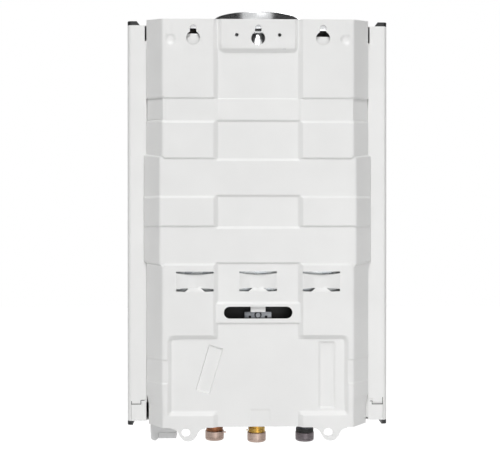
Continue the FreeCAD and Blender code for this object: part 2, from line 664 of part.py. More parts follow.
# ---------------------------------------------------------------- rear casing
def casing_form(side, inset):
    """The pressed form, set in by a sheet thickness for its inner side."""
    lean = inset * 0.41
    top = mm.casing_top - inset
    foot = inset - mm.casing_drop
    stretches = [
        ("main", -mm.foot_drop, top, mm.as_zero),
        ("bulge", -mm.bulge_foot, -mm.bulge_top, mm.bulge),
        ("foot", foot, -mm.foot_drop, -mm.foot_inset),
    ]
    blocks = []
    for title, low, high, proud in stretches:
        face = mm.face_half + proud - lean
        wall = mm.side_half + proud - inset
        deep = -mm.chamfer_deep - lean
        blocks.append(wedge(f"{side}_{title}_band", deep, both(wall), (low, high),
                            -inset, both(face), (low, high)))
        blocks.append(box(f"{side}_{title}_wall", both(wall), (-mm.wall_deep - inset, deep), (low, high)))
    return fuse(f"{side}_form", *blocks)


def recess(name, x, z, deep, inset):
    """A pressed hollow with walls at 45 degrees; x and z bound its floor."""
    rim = deep + 1
    wide = (x[0] - rim, x[1] + rim)
    tall = (z[0] - rim, z[1] + rim)
    return wedge(name, -deep - inset, x, z, 1 - inset, wide, tall)


def casing_recesses(side, inset):
    """All the embossing that goes inwards, on one side of the sheet."""
    column = both(mm.column_half)
    wide_column = both(mm.column_half + mm.field_deep - mm.band_deep)
    bands = [
        (-mm.band_one_foot, -mm.band_one_top),
        (-mm.band_two_foot, -mm.bulge_top),
        (-mm.bulge_foot, -mm.band_three_top),
    ]
    floors = [
        (-mm.band_one_top, mm.casing_top + 2 * mm.field_deep),
        (-mm.bulge_top, -mm.band_one_foot),
        (-mm.band_three_top, -mm.band_two_foot),
        (-mm.shelf_top, -mm.bulge_foot),
        (-mm.casing_drop - 2 * mm.field_deep, -mm.shelf_foot),
    ]
    tools = []
    for number, rows in enumerate(bands):
        tools.append(recess(f"{side}_band_{number}", both(mm.side_half), rows, mm.band_deep, inset))
    every_row = (floors[-1][0], floors[0][1])
    tools.append(recess(f"{side}_column", wide_column, every_row, mm.band_deep, inset))
    for number, rows in enumerate(floors):
        tools.append(recess(f"{side}_floor_{number}", column, rows, mm.field_deep, inset))
    field = (mm.field_deep - mm.field_foot, -mm.field_top)
    tools.append(recess(f"{side}_field", both(mm.field_half), field, mm.field_deep, inset))
    for number, reach in enumerate((-mm.dimple_reach, mm.dimple_reach)):
        tools.append(rod(f"{side}_dimple_{number}", "y", (reach, -1), (-mm.emboss_deep - inset, 1),
                         mm.dimple_round))
    dip_z = (-mm.side_dip_foot, -mm.side_dip_top)
    tools.append(recess(f"{side}_dip_left", (mm.side_dip_near, mm.side_half), dip_z, mm.emboss_deep, inset))
    tools.append(recess(f"{side}_dip_right", (-mm.side_half, -mm.side_dip_near), dip_z, mm.emboss_deep,
                        inset))
    sunk = mm.field_deep + mm.emboss_deep
    upright = wedge_block(f"{side}_upright", mm.plate_wide / 2, mm.plate_tall / 2, sunk, inset)
    put(upright, -mm.plate_reach, 0, -mm.plate_drop)
    slanted = wedge_block(f"{side}_slanted", mm.slant_wide / 2, mm.slant_tall / 2, sunk, inset)
    slanted.Placement = Placement(Vector(), Rotation(Vector(0, 1, 0), 1))
    slanted.setExpression("Placement.Rotation.Angle", (-mm.slant_turn).text)
    put(slanted, mm.slant_reach, 0, -mm.slant_drop)
    tools += [upright, slanted]
    for number, (reach, level) in enumerate(louvres()):
        strip = (-mm.louvre_foot, -mm.louvre_top)
        floor = mm.louvre_half - mm.louvre_deep * 2
        tools.append(wedge(f"{side}_louvre_{number}", -level - mm.louvre_deep - inset,
                           about(reach, floor), strip, -level - inset,
                           about(reach, mm.louvre_half), strip))
    return tools


def wedge_block(name, half_wide, half_tall, deep, inset):
    """A sunk rectangle round the origin, its walls at 45 degrees, for a floor that is already deep."""
    wall = mm.emboss_deep
    return wedge(name, -deep - inset, both(half_wide - wall), both(half_tall - wall),
                 wall - deep - inset, both(half_wide), both(half_tall))


def louvres():
    """Where each louvre stands and the level of the sheet round it."""
    return [
        (-mm.louvre_reach, as_size(0)),
        (as_size(0), mm.field_deep),
        (mm.louvre_reach, as_size(0)),
    ]


def casing_side(side, inset):
    """One side of the sheet: the form, its hollows, and the raised panel at the centre keyhole."""
    hollow = cut(f"{side}_hollow", casing_form(side, inset), *casing_recesses(side, inset))
    top = mm.casing_top - inset
    foot = -mm.hang_panel_drop
    wide = mm.hang_panel_half + mm.field_deep
    panel = wedge(f"{side}_panel", -mm.field_deep - 1 - inset, both(wide + 1),
                  (foot - mm.field_deep - 1, top),
                  -inset, both(mm.hang_panel_half), (foot, top))
    return fuse(side, hollow, panel)


def keyhole(name, reach):
    through = (-mm.field_deep, 1)
    slot = mm.keyhole_slot / 2
    return fuse(name,
                rod(f"{name}_entry", "y", (reach, 0), through, mm.keyhole_round),
                box(f"{name}_slot", about(reach, slot), through, (0, mm.keyhole_rise - slot)),
                rod(f"{name}_end", "y", (reach, mm.keyhole_rise - slot), through, slot))


def obround(name, centre_x, centre_z, half_long, half_tall, y):
    """A slot with round ends that runs along X, as a cutter."""
    straight = half_long - half_tall
    return fuse(name,
                box(f"{name}_middle", about(centre_x, straight), y, about(centre_z, half_tall)),
                rod(f"{name}_left", "y", (centre_x - straight, centre_z), y, half_tall),
                rod(f"{name}_right", "y", (centre_x + straight, centre_z), y, half_tall))


def lug_shape(reach):
    """A wall lug: a round end that flares into the bottom edge, with its hole still closed."""
    top = point(0, 0, -mm.casing_drop).z
    centre = point(reach, 0, -mm.lug_drop)
    outer = mm.lug_round.value
    flare = mm.lug_flare.value
    level = top - flare
    away = math.sqrt((outer + flare) ** 2 - (level - centre.z) ** 2)
    edges = []
    corners = []
    for way in (-1, 1):
        middle = Vector(centre.x + way * away, 0, level)
        toward = (centre - middle).normalize()
        touch = middle + toward * flare
        start = Vector(middle.x, 0, top)
        bulge = middle + (toward + Vector(0, 0, 1)).normalize() * flare
        edges.append(Part.Arc(start, bulge, touch).toShape())
        corners.append((start, touch))
    bottom = centre - Vector(0, 0, outer)
    edges.append(Part.Arc(corners[0][1], bottom, corners[1][1]).toShape())
    rise = Vector(0, 0, 2 * mm.gauge.value)
    left, right = corners[0][0], corners[1][0]
    edges.append(Part.LineSegment(left, left + rise).toShape())
    edges.append(Part.LineSegment(left + rise, right + rise).toShape())
    edges.append(Part.LineSegment(right + rise, right).toShape())
    face = Part.Face(Part.Wire(Part.__sortEdges__(edges)))
    return face.extrude(Vector(0, -mm.gauge.value, 0))


def rear_casing():
    skin = cut("casing_skin", casing_side("outer", as_size(0)), casing_side("inner", mm.gauge))
    whole = both(mm.side_half + mm.bulge + 1)
    through = (-2 * mm.field_deep, 1)
    slot_half = mm.slot_tall / 2
    openings = [
        box("top_cutback", whole, (-mm.wall_deep - 2, -mm.top_lip),
            (mm.cover_top - mm.gauge - mm.seat, mm.casing_top + 1)),
        box("bottom_cutback", whole, (-mm.wall_deep - 2, -mm.bottom_lip),
            (-mm.casing_drop - 1, mm.gauge + mm.seat - mm.cover_drop)),
        keyhole("keyhole_left", mm.keyhole_pitch),
        keyhole("keyhole_centre", as_size(0)),
        keyhole("keyhole_right", -mm.keyhole_pitch),
        obround("slot", as_size(0), -mm.slot_drop, mm.slot_half, slot_half, through),
    ]
    for number, (reach, level) in enumerate(louvres()):
        y = (-level - mm.louvre_deep / 2, 1)
        x = about(reach, mm.louvre_half)
        openings.append(box(f"upper_slit_{number}", x, y, (-mm.louvre_top, mm.slit_thin - mm.louvre_top)))
        openings.append(box(f"lower_slit_{number}", x, y, (-mm.louvre_foot - mm.slit_thick, -mm.louvre_foot)))
    for number, reach in enumerate((-mm.rivet_reach, mm.rivet_reach)):
        openings.append(rod(f"rivet_hole_{number}", "y", (reach, mm.rivet_rise), through, mm.rivet_round))
    tab_top = slot_half - mm.slot_drop + mm.gauge
    tab = box("slot_tab", both(mm.slot_tab_half), (-mm.band_deep - 2 * mm.gauge, -mm.band_deep),
              (-mm.slot_drop, tab_top))
    pieces = [cut("casing_pierced", skin, *openings), tab]
    for number, reach in enumerate((-mm.lug_reach, mm.lug_reach)):
        lug = computed(f"lug_{number}", lug_shape(reach))
        hole = obround(f"lug_hole_{number}", reach, -mm.lug_drop, mm.lug_hole_long / 2,
                       mm.lug_hole_tall / 2, (-2 * mm.gauge, mm.gauge))
        pieces.append(cut(f"lug_pierced_{number}", lug, hole))
    node("rear_casing", fuse("rear_casing", *pieces))


# ---------------------------------------------------------------- cover and panels
def cover_outline(name, inset, low, high):
    """The cover's plan as a tall block: round front edges, smaller folds at the rear."""
    front = rounded_block(f"{name}_front", both(mm.cover_half - inset),
                          (inset - mm.cover_deep, -mm.cover_rear - mm.cover_half / 2),
                          (low, high), mm.front_round - inset, "z")
    rear = rounded_block(f"{name}_rear", both(mm.cover_half - inset),
                         (-mm.cover_deep + mm.cover_half / 3, -mm.cover_rear - inset),
                         (low, high), mm.rear_round - inset, "z")
    middle = box(f"{name}_middle", both(mm.cover_half - inset),
                 (-mm.cover_deep + 2 * mm.front_round, -mm.cover_rear - 2 * mm.rear_round), (low, high))
    return fuse(name, front, middle, rear)


def lug_zone(name, way, grow):
    """The stepped corner of a flange that belongs to the bottom panel."""
    inner = mm.side_half - mm.foot_inset
    outer = mm.cover_half - mm.rear_round
    y = (-mm.cover_rear - mm.gauge, -mm.cover_rear)
    low = -mm.cover_drop
    step = inner + mm.foot_inset + mm.seat + mm.seam_step_wide / 2
    spans = [(inner + mm.foot_inset + mm.seat - grow, outer + grow, grow - mm.seam_drop),
             (inner + mm.foot_inset + mm.seat - grow, step + grow, grow + mm.seam_step - mm.seam_drop)]
    blocks = []
    for number, (near, far, high) in enumerate(spans):
        x = (near, far) if way > 0 else (-far, -near)
        blocks.append(box(f"{name}_{number}", x, (y[0] - grow, y[1] + grow), (low - grow, high)))
    return fuse(name, *blocks)


def front_cover():
    low, high = -mm.cover_drop, mm.cover_top
    outer = cover_outline("cover_outer", as_size(0), low, high)
    inner = cover_outline("cover_inner", mm.gauge, low - 1, high + 1)
    back = (-mm.cover_rear - mm.gauge - 1, 1 - mm.cover_rear)
    lips = []
    reach = both(mm.cover_half - mm.front_round)
    lip_y = (mm.gauge - mm.cover_deep, mm.gauge + mm.lip_wide - mm.cover_deep)
    low_lip = (mm.gauge - mm.cover_drop, 2 * mm.gauge - mm.cover_drop)
    high_lip = (mm.cover_top - 2 * mm.gauge, mm.cover_top - mm.gauge)
    for name, z in (("low_lip", low_lip), ("high_lip", high_lip)):
        lips.append(box(name, reach, lip_y, z))
    wall = (-mm.cover_deep - 1, mm.gauge + 1 - mm.cover_deep)
    tools = [
        box("rear_opening", both(mm.side_half + mm.seat), back, (low - 1, high + 1)),
        box("bulge_opening", both(mm.side_half + mm.bulge + mm.seat), back,
            (-mm.bulge_foot - mm.seat, mm.seat - mm.bulge_top)),
        box("top_opening", both(mm.side_half + mm.flange_slit), back, (-mm.flange_slit_drop, high + 1)),
        lug_zone("seam_left", 1, mm.seat),
        lug_zone("seam_right", -1, mm.seat),
        obround("window_opening", as_size(0), -mm.window_drop, mm.window_half, mm.window_tall / 2, wall),
    ]
    for number, reach_x in enumerate(knob_places()):
        tools.append(rod(f"knob_opening_{number}", "y", (reach_x, -mm.knob_drop), wall, mm.knob_hole))
    for number, (x, y) in enumerate(screw_places()):
        tools.append(rod(f"lip_hole_{number}", "z", (x, y), (low - 1, high + 1), mm.screw_round + mm.running))
    shell = cut("cover_shell", outer, inner)
    node("front_cover", cut("front_cover", fuse("cover_with_lips", shell, *lips), *tools))


def screw_places():
    """Panel screws, in plan."""
    y = mm.gauge + mm.lip_wide / 2 - mm.cover_deep
    return [(-mm.screw_reach, y), (mm.screw_reach, y)]


def knob_places():
    return [-mm.knob_pitch, as_size(0), mm.knob_pitch]


def panel_screws():
    """Pan-head screws that hold the top and bottom panels to the cover's lips."""
    solids = []
    for number, (x, y) in enumerate(screw_places()):
        low, high = -mm.cover_drop, mm.cover_top
        solids.append(fuse(f"low_screw_{number}",
                           rod(f"low_shank_{number}", "z", (x, y), (low, low + mm.screw_long),
                               mm.screw_round),
                           cone(f"low_head_{number}", (x, y), (low - mm.screw_head_tall, low),
                                mm.screw_head * 0.7, mm.screw_head)))
        solids.append(fuse(f"high_screw_{number}",
                           rod(f"high_shank_{number}", "z", (x, y), (high - mm.screw_long, high),
                               mm.screw_round),
                           cone(f"high_head_{number}", (x, y), (high, high + mm.screw_head_tall),
                                mm.screw_head, mm.screw_head * 0.7)))
    node("cover_screws", group("cover_screws", *solids))


def top_panel():
    z = (mm.cover_top - mm.gauge, mm.cover_top)
    wide = both(mm.cover_half - mm.gauge)
    plate = box("top_plate", wide, (mm.gauge - mm.cover_deep, -mm.cover_rear - mm.gauge), z)
    rear = box("top_plate_rear", both(mm.face_half), (-mm.cover_rear - 2 * mm.gauge, -mm.top_lip - mm.seat),
               z)
    corner = cover_outline("top_plate_outline", mm.gauge, z[0] - 1, z[1] + 1)
    body = fuse("top_plate_whole", common("top_plate_round", plate, corner), rear)
    tools = [rod("flue_hole", "z", (0, -mm.stack_deep), (z[0] - 1, z[1] + 1), mm.collar_round + mm.seat)]
    for number, (x, y) in enumerate(screw_places()):
        tools.append(rod(f"top_hole_{number}", "z", (x, y), (z[0] - 1, z[1] + 1),
                         mm.screw_round + mm.running))
    node("top_panel", cut("top_panel", body, *tools))


def bottom_panel():
    z = (-mm.cover_drop, mm.gauge - mm.cover_drop)
    inner = mm.side_half + mm.seat
    plate = box("bottom_plate", both(mm.cover_half - mm.gauge),
                (mm.gauge - mm.cover_deep, -mm.bottom_lip - mm.seat), z)
    outline = cover_outline("bottom_plate_outline", mm.gauge, z[0] - 1, z[1] + 1)
    pieces = [common("bottom_plate_round", plate, outline)]
    for way, side in ((1, "left"), (-1, "right")):
        far = mm.cover_half - mm.rear_round
        x = (inner, far) if way > 0 else (-far, -inner)
        pieces.append(box(f"corner_{side}", x, (-mm.bottom_lip - 1, -mm.cover_rear), z))
        pieces.append(lug_zone(f"corner_lug_{side}", way, as_size(0)))
    deep = (z[0] - 1, z[1] + 1)
    hole = mm.stub_round + 2 * mm.seat
    tools = [rod(f"stub_hole_{number}", "z", (x, -mm.stub_deep), deep, hole)
             for number, x in enumerate((mm.hot_reach, as_size(0), -mm.gas_reach))]
    tools.append(rod("cock_hole", "z", (mm.cock_reach, -mm.cock_deep), deep, mm.cock_stem + mm.seat))
    x, y = battery_plan(mm.seat)
    tools.append(box("battery_opening", x, y, deep))
    for number, (x, y) in enumerate(screw_places()):
        tools.append(rod(f"bottom_hole_{number}", "z", (x, y), deep, mm.screw_round + mm.running))
    for number in range(int(mm.vent_count.value)):
        x = (number - (mm.vent_count - 1) / 2) * mm.vent_pitch
        tools.append(box(f"vent_{number}", about(x, mm.vent_wide / 2), about(-mm.vent_deep, mm.vent_half),
                         deep))
    node("bottom_panel", cut("bottom_panel", fuse("bottom_plate_whole", *pieces), *tools))


def end_trims():
    """Black caps on the cover's top side edges, and feet under its bottom side edges."""
    y = (-mm.cover_deep, -mm.cover_rear)
    caps, feet = [], []
    for way, side in ((1, "left"), (-1, "right")):
        near, far = mm.cover_half - mm.cap_wide, mm.cover_half
        low = (near, far) if way > 0 else (-far, -near)
        lean = near + mm.cap_slant
        high = (lean, far) if way > 0 else (-far, -lean)
        cap = wedge_up(f"cap_{side}", mm.cover_top, low, y, mm.cover_top + mm.cap_tall, high, y)
        near = mm.cover_half - mm.foot_wide
        x = (near, far) if way > 0 else (-far, -near)
        foot = box(f"foot_{side}", x, y, (-mm.cover_drop - mm.cap_tall, -mm.cover_drop))
        round_cap = cover_outline(f"cap_plan_{side}", as_size(0), mm.cover_top - 1,
                                  mm.cover_top + mm.cap_tall + 1)
        round_foot = cover_outline(f"foot_plan_{side}", as_size(0), -mm.cover_drop - mm.cap_tall - 1,
                                   1 - mm.cover_drop)
        caps.append(common(f"round_cap_{side}", cap, round_cap))
        feet.append(common(f"round_foot_{side}", foot, round_foot))
    node("top_caps", group("top_caps", *caps))
    node("bottom_feet", group("bottom_feet", *feet))


# ---------------------------------------------------------------- flue, exchanger and burner
def stack_plan(inset):
    """The plan shared by the hood's foot, the chamber and the burner frame."""
    return both(mm.stack_half - inset), about(-mm.stack_deep, mm.stack_half_deep - inset)


def flue_collar():
    centre = (0, -mm.stack_deep)
    ring = rod("collar_ring", "z", centre, (mm.hood_top, mm.collar_top), mm.collar_round)
    flange = rod("collar_flange", "z", centre, (mm.hood_top, mm.hood_top + mm.gauge),
                 mm.collar_round + mm.collar_flange)
    bead_foot = mm.cover_top + mm.seat
    bead = rod("collar_bead", "z", centre, (bead_foot, bead_foot + mm.bead_tall),
               mm.collar_round + mm.bead_proud)
    bore = rod("collar_bore", "z", centre, (mm.hood_top - 1, mm.collar_top + 1), mm.collar_round - mm.gauge)
    node("flue_collar", cut("flue_collar", fuse("collar_body", ring, flange, bead), bore))


def draft_hood():
    shells = []
    for name, inset in (("outer", as_size(0)), ("inner", mm.gauge)):
        x, y = stack_plan(inset)
        shells.append(wedge_up(f"hood_{name}", -mm.hood_foot, x, y, mm.hood_top - inset,
                               both(mm.hood_top_half - inset), y))
    mouth = rod("hood_mouth", "z", (0, -mm.stack_deep), (0, mm.hood_top + 1), mm.collar_round - mm.gauge)
    node("draft_hood", cut("draft_hood", shells[0], shells[1], mouth))


def tube_places():
    """Depth of each exchanger tube, from front to back."""
    return [-mm.stack_deep + mm.tube_pitch * step for step in (-1.5, -0.5, 0.5, 1.5)]


def combustion_chamber():
    x, y = stack_plan(as_size(0))
    inner_x, inner_y = stack_plan(mm.gauge)
    z = (-mm.chamber_foot, -mm.hood_foot)
    tools = [box("chamber_inside", inner_x, inner_y, (z[0] - 1, z[1] + 1))]
    for number, depth in enumerate(tube_places()):
        tools.append(rod(f"chamber_hole_{number}", "x", (depth, -mm.tube_drop), (x[0] - 1, x[1] + 1),
                         mm.pipe_round + mm.running))
    node("combustion_chamber", cut("combustion_chamber", box("chamber_block", x, y, z), *tools))


def heat_exchanger():
    half = mm.fin_gauge / 2
    fin = box("fin_plate", both(half), about(-mm.stack_deep, mm.fin_half_deep), (-mm.fin_foot, -mm.fin_top))
    holes = [rod(f"fin_hole_{number}", "x", (depth, -mm.tube_drop), both(half + 1),
                 mm.pipe_round + mm.running)
             for number, depth in enumerate(tube_places())]
    fin = cut("fin", fin, *holes)
    node("heat_exchanger_fins",
         in_a_row("heat_exchanger_fins", fin, int(mm.fin_count.value), mm.fin_pitch.value))
    level = -mm.tube_drop
    front, second, third, back = tube_places()
    turn = mm.tube_turn + mm.tube_pitch / 2
    riser_y = coil_front()
    points = [
        point(mm.riser_reach, riser_y, -mm.coil_high + mm.pipe_bend + 1),
        point(mm.riser_reach, riser_y, level),
        point(mm.riser_reach, front, level),
        point(-turn, front, level),
        point(-turn, second, level),
        point(turn, second, level),
        point(turn, third, level),
        point(-turn, third, level),
        point(-turn, back, level),
        point(mm.stack_half + 2 * mm.seat + mm.pipe_round, back, level),
    ]
    bend = min(mm.tube_pitch.value / 2, (front - riser_y).value / 2) * 0.98
    bore = mm.pipe_round.value - mm.pipe_wall.value
    node("heat_exchanger_tubes",
         computed("heat_exchanger_tubes", pipe_shape(points, mm.pipe_round.value, bore, bend)))


def coil_front():
    """Depth of the coil's front run."""
    return -mm.stack_deep - mm.stack_half_deep - mm.seat - mm.pipe_round


def coil_side():
    """Distance of the coil's side runs from the middle."""
    return mm.stack_half + mm.seat + mm.pipe_round


def jacket_coil():
    front = coil_front()
    back = mm.stack_half_deep + mm.seat + mm.pipe_round - mm.stack_deep
    side = coil_side()
    rise = (mm.coil_low - mm.coil_high) / 4
    start = tube_places()[3]
    node("jacket_coil", water_pipe(
        "jacket_coil",
        point(-side, start, -mm.coil_start),
        point(-side, start, -mm.coil_low),
        point(-side, front, -mm.coil_low),
        point(side, front, rise - mm.coil_low),
        point(side, back, 2 * rise - mm.coil_low),
        point(-side, back, 3 * rise - mm.coil_low),
        point(-side, front, -mm.coil_high),
        point(mm.riser_reach, front, -mm.coil_high),
        point(mm.riser_reach, front, -mm.coil_high + mm.pipe_bend + 1)))


def water_pipes():
    level = mm.frame_foot + 2 * mm.pipe_round
    back = tube_places()[3]
    node("cold_pipe", water_pipe(
        "cold_pipe",
        point(mm.water_outlet_reach, -mm.valve_deep, -mm.water_valve_top),
        point(mm.water_outlet_reach, -mm.valve_deep, -level),
        point(-coil_side(), back, -level),
        point(-coil_side(), back, -mm.coil_start)))
    level = mm.frame_foot + 3 * mm.pipe_round
    points = [
        point(mm.stack_half + 2 * mm.seat + mm.pipe_round, back, -mm.tube_drop),
        point(mm.downpipe_reach, back, -mm.tube_drop),
        point(mm.downpipe_reach, back, -level),
        point(mm.hot_reach, -mm.stub_deep, -level - 2 * mm.pipe_round),
        point(mm.hot_reach, -mm.stub_deep, -mm.stub_top - mm.pipe_round),
    ]
    bend = (mm.downpipe_reach - mm.stack_half - 2 * mm.seat - mm.pipe_round).value * 0.95
    bore = mm.pipe_round.value - mm.pipe_wall.value
    node("hot_pipe", computed("hot_pipe", pipe_shape(points, mm.pipe_round.value, bore, bend)))


def burner_frame():
    x, y = stack_plan(as_size(0))
    inner_x, inner_y = stack_plan(mm.gauge)
    z = (-mm.frame_foot, -mm.chamber_foot)
    shell = cut("frame_shell", box("frame_block", x, y, z),
                box("frame_inside", inner_x, inner_y, (z[0] - 1, z[1] + 1)))
    rail_z = (-mm.blade_foot - mm.rail_tall, -mm.blade_foot)
    rails = [box(f"rail_{number}", inner_x, about(middle, mm.rail_tall), rail_z)
             for number, middle in enumerate((mm.blade_half_deep / 2 - mm.stack_deep,
                                              -mm.blade_half_deep / 2 - mm.stack_deep))]
    front = (y[0] - 1, y[0] + mm.gauge + 1)
    tools = [obround("sight_hole", as_size(0), -mm.electrode_drop, mm.electrode_reach * 0.6,
                     mm.electrode_round, front)]
    for number in range(int(mm.blade_count.value)):
        middle = (number - (mm.blade_count - 1) / 2) * mm.blade_pitch
        tools.append(rod(f"frame_hole_{number}", "y", (middle, -mm.venturi_drop), front, mm.venturi_round))
    for number, reach in enumerate((-mm.electrode_reach, mm.electrode_reach)):
        tools.append(rod(f"electrode_hole_{number}", "y", (reach, -mm.electrode_drop), front,
                         mm.electrode_round + mm.running))
    node("burner_frame", cut("burner_frame", fuse("frame_with_rails", shell, *rails), *tools))


def burner_blades():
    y = about(-mm.stack_deep, mm.blade_half_deep)
    z = (-mm.blade_foot, -mm.blade_top)
    blade = box("blade_block", both(mm.blade_wide / 2), y, z)
    wall = (mm.blade_wide - mm.flame_slot) / 2
    slot = box("blade_slot", both(mm.flame_slot / 2), (y[0] + wall, y[1] - wall), (z[1] - wall * 2, z[1] + 1))
    mixing = rod("blade_inlet", "y", (0, -mm.venturi_drop), (y[0] - 1, -mm.stack_deep),
                 mm.venturi_round - mm.gauge)
    rising = box("blade_riser", both(mm.flame_slot / 2), about(-mm.stack_deep - mm.flame_slot, mm.flame_slot),
                 (-mm.venturi_drop, z[1]))
    node("burner_blades", in_a_row("burner_blades", cut("blade", blade, slot, mixing, rising),
                                   int(mm.blade_count.value), mm.blade_pitch.value))


def manifold_span():
    """Depth of the manifold's back and front."""
    back = -mm.stack_deep - mm.stack_half_deep - mm.manifold_gap
    return back - mm.manifold_deep, back


def gas_manifold():
    front, back = manifold_span()
    z = about(-mm.venturi_drop, mm.manifold_tall / 2)
    bar = box("manifold_bar", both(mm.manifold_half), (front, back), z)
    inside = box("manifold_inside", both(mm.manifold_half - mm.gauge),
                 (front + mm.gauge, back - mm.gauge), (z[0] + mm.gauge, z[1] - mm.gauge))
    ends = [box(f"manifold_tab_{number}", x, (back - mm.gauge, back + mm.manifold_gap), z)
            for number, x in enumerate(((mm.manifold_half - mm.gauge, mm.manifold_half),
                                        (-mm.manifold_half, mm.gauge - mm.manifold_half)))]
    inlet = rod("manifold_inlet", "z", (-mm.gas_outlet_reach, (front + back) / 2),
                (z[0] - 1, z[0] + mm.gauge + 1), mm.pipe_round - mm.pipe_wall)
    jets = [rod(f"jet_hole_{number}", "y",
                ((number - (mm.blade_count - 1) / 2) * mm.blade_pitch, -mm.venturi_drop),
                (back - mm.gauge - 1, back + 1),
                mm.nozzle_bore * 2) for number in range(int(mm.blade_count.value))]
    hollow = cut("manifold_hollow", bar, inside, inlet, *jets)
    node("gas_manifold", fuse("gas_manifold", hollow, *ends))
    base = rod("nozzle_base", "y", (0, -mm.venturi_drop), (back, back + mm.nozzle_long / 2), mm.nozzle_round)
    tip = rod("nozzle_tip", "y", (0, -mm.venturi_drop), (back, back + mm.nozzle_long), mm.nozzle_round * 0.7)
    jet = rod("nozzle_jet", "y", (0, -mm.venturi_drop), (back - 1, back + mm.nozzle_long + 1), mm.nozzle_bore)
    nozzle = cut("nozzle", fuse("nozzle_body", base, tip), jet)
    node("gas_nozzles", in_a_row("gas_nozzles", nozzle, int(mm.blade_count.value), mm.blade_pitch.value))


def gas_pipe():
    middle = sum_half(*manifold_span())
    level = -mm.gas_valve_top + mm.pipe_nut_tall + mm.pipe_bend + 1
    node("gas_pipe", water_pipe(
        "gas_pipe",
        point(-mm.gas_outlet_reach, -mm.valve_deep, -mm.gas_valve_top),
        point(-mm.gas_outlet_reach, -mm.valve_deep, level),
        point(-mm.gas_outlet_reach, middle, level),
        point(-mm.gas_outlet_reach, middle, -mm.venturi_drop - mm.manifold_tall / 2)))


def sum_half(first, second):
    return (first + second) / 2


def electrodes():
    wall = -mm.stack_deep - mm.stack_half_deep
    for label, reach in (("ignition_electrode", -mm.electrode_reach), ("flame_sensor", mm.electrode_reach)):
        centre = (reach, -mm.electrode_drop)
        ceramic = rod(f"{label}_ceramic", "y", centre, (wall - mm.lip_wide / 2, wall + mm.lip_wide),
                      mm.electrode_round)
        collar = rod(f"{label}_collar", "y", centre, (wall - mm.gauge * 2, wall),
                     mm.electrode_round + mm.gauge)
        wire = rod(f"{label}_wire", "y", centre, (wall, wall + 2 * mm.lip_wide), mm.electrode_tip)
        node(label, fuse(label, ceramic, collar, wire))


def thermostat():
    centre = (-mm.stack_deep, -mm.thermostat_drop)
    can = rod("thermostat_can", "x", centre, (mm.stack_half, mm.stack_half + mm.thermostat_deep),
              mm.thermostat_round)
    blades = box("thermostat_tags", (mm.stack_half + mm.thermostat_deep,
                                     mm.stack_half + 2 * mm.thermostat_deep),
                 about(-mm.stack_deep, mm.gauge), about(-mm.thermostat_drop, mm.thermostat_round / 2))
    node("overheat_thermostat", fuse("overheat_thermostat", can, blades))


def brackets():
    """Sheet brackets between the rear casing and what hangs on it."""
    back = mm.stack_half_deep - mm.stack_deep
    solids = []
    for row, drop in enumerate((mm.upper_bracket_drop, mm.lower_bracket_drop)):
        for side, reach in enumerate((-mm.bracket_reach, mm.bracket_reach)):
            name = f"chamber_bracket_{row}_{side}"
            z = about(-drop, mm.bracket_tall / 2)
            half = mm.bracket_wide / 2
            block = box(f"{name}_block", about(reach, half), (back, -mm.gauge), z)
            inside = box(f"{name}_inside", about(reach, half - mm.gauge),
                         (back + mm.gauge, -2 * mm.gauge), (z[0] - 1, z[1] + 1))
            solids.append(cut(name, block, inside))
    node("chamber_brackets", group("chamber_brackets", *solids))
    z = (mm.hood_top - mm.gauge - mm.hood_bracket_tall, mm.hood_top - mm.gauge)
    half = mm.hood_bracket_half
    block = box("hood_bracket_block", both(half), (back, -mm.gauge), z)
    inside = box("hood_bracket_inside", both(half - mm.gauge), (back + mm.gauge, -2 * mm.gauge),
                 (z[0] - 1, z[1] + 1))
    clear = box("hood_bracket_clear", both(mm.keyhole_round * 2), (-3 * mm.gauge, 0), (z[0] - 1, z[1] + 1))
    holes = [rod(f"bracket_hole_{number}", "y", (reach, mm.rivet_rise), (-3 * mm.gauge, 0), mm.rivet_round)
             for number, reach in enumerate((-mm.rivet_reach, mm.rivet_reach))]
    node("hood_bracket", cut("hood_bracket", block, inside, clear, *holes))
    slot_bracket(back)


def slot_bracket(back):
    """The stepped bracket under the burner frame, seen through the casing's slot, and its screw."""
    x = both(mm.slot_bracket_half)
    shelf_top = -mm.slot_drop + mm.gauge
    foot = box("slot_foot", x, (back, back + mm.gauge),
               (shelf_top - mm.gauge, mm.bracket_tall - mm.frame_foot))
    shelf = box("slot_shelf", x, (back, -mm.slot_bracket_deep), (shelf_top - mm.gauge, shelf_top))
    drop = box("slot_drop", x, (-mm.slot_bracket_deep - mm.gauge, -mm.slot_bracket_deep),
               (-mm.slot_bracket_foot, shelf_top))
    centre = (0, -mm.slot_screw_drop)
    through = (-mm.slot_bracket_deep - mm.gauge - 1, 1 - mm.slot_bracket_deep)
    tools = [rod("slot_screw_hole", "y", centre, through, mm.slot_screw_round + mm.running)]
    for number, way in enumerate((-1, 1)):
        reach = mm.slot_bracket_half * 0.6 * way
        tools.append(box(f"slot_notch_{number}", about(reach, mm.slot_screw_round), through,
                         (-mm.slot_bracket_foot - 1, mm.slot_screw_head - mm.slot_bracket_foot)))
    node("slot_bracket", cut("slot_bracket", fuse("slot_bracket_body", foot, shelf, drop), *tools))
    head = rod("slot_screw_head_form", "y", centre,
               (-mm.slot_bracket_deep, mm.slot_screw_head / 1.5 - mm.slot_bracket_deep),
               mm.slot_screw_head)
    shank = rod("slot_screw_shank", "y", centre, (-mm.slot_bracket_deep * 2, -mm.slot_bracket_deep),
                mm.slot_screw_round)
    node("slot_bracket_screw", fuse("slot_bracket_screw", head, shank))


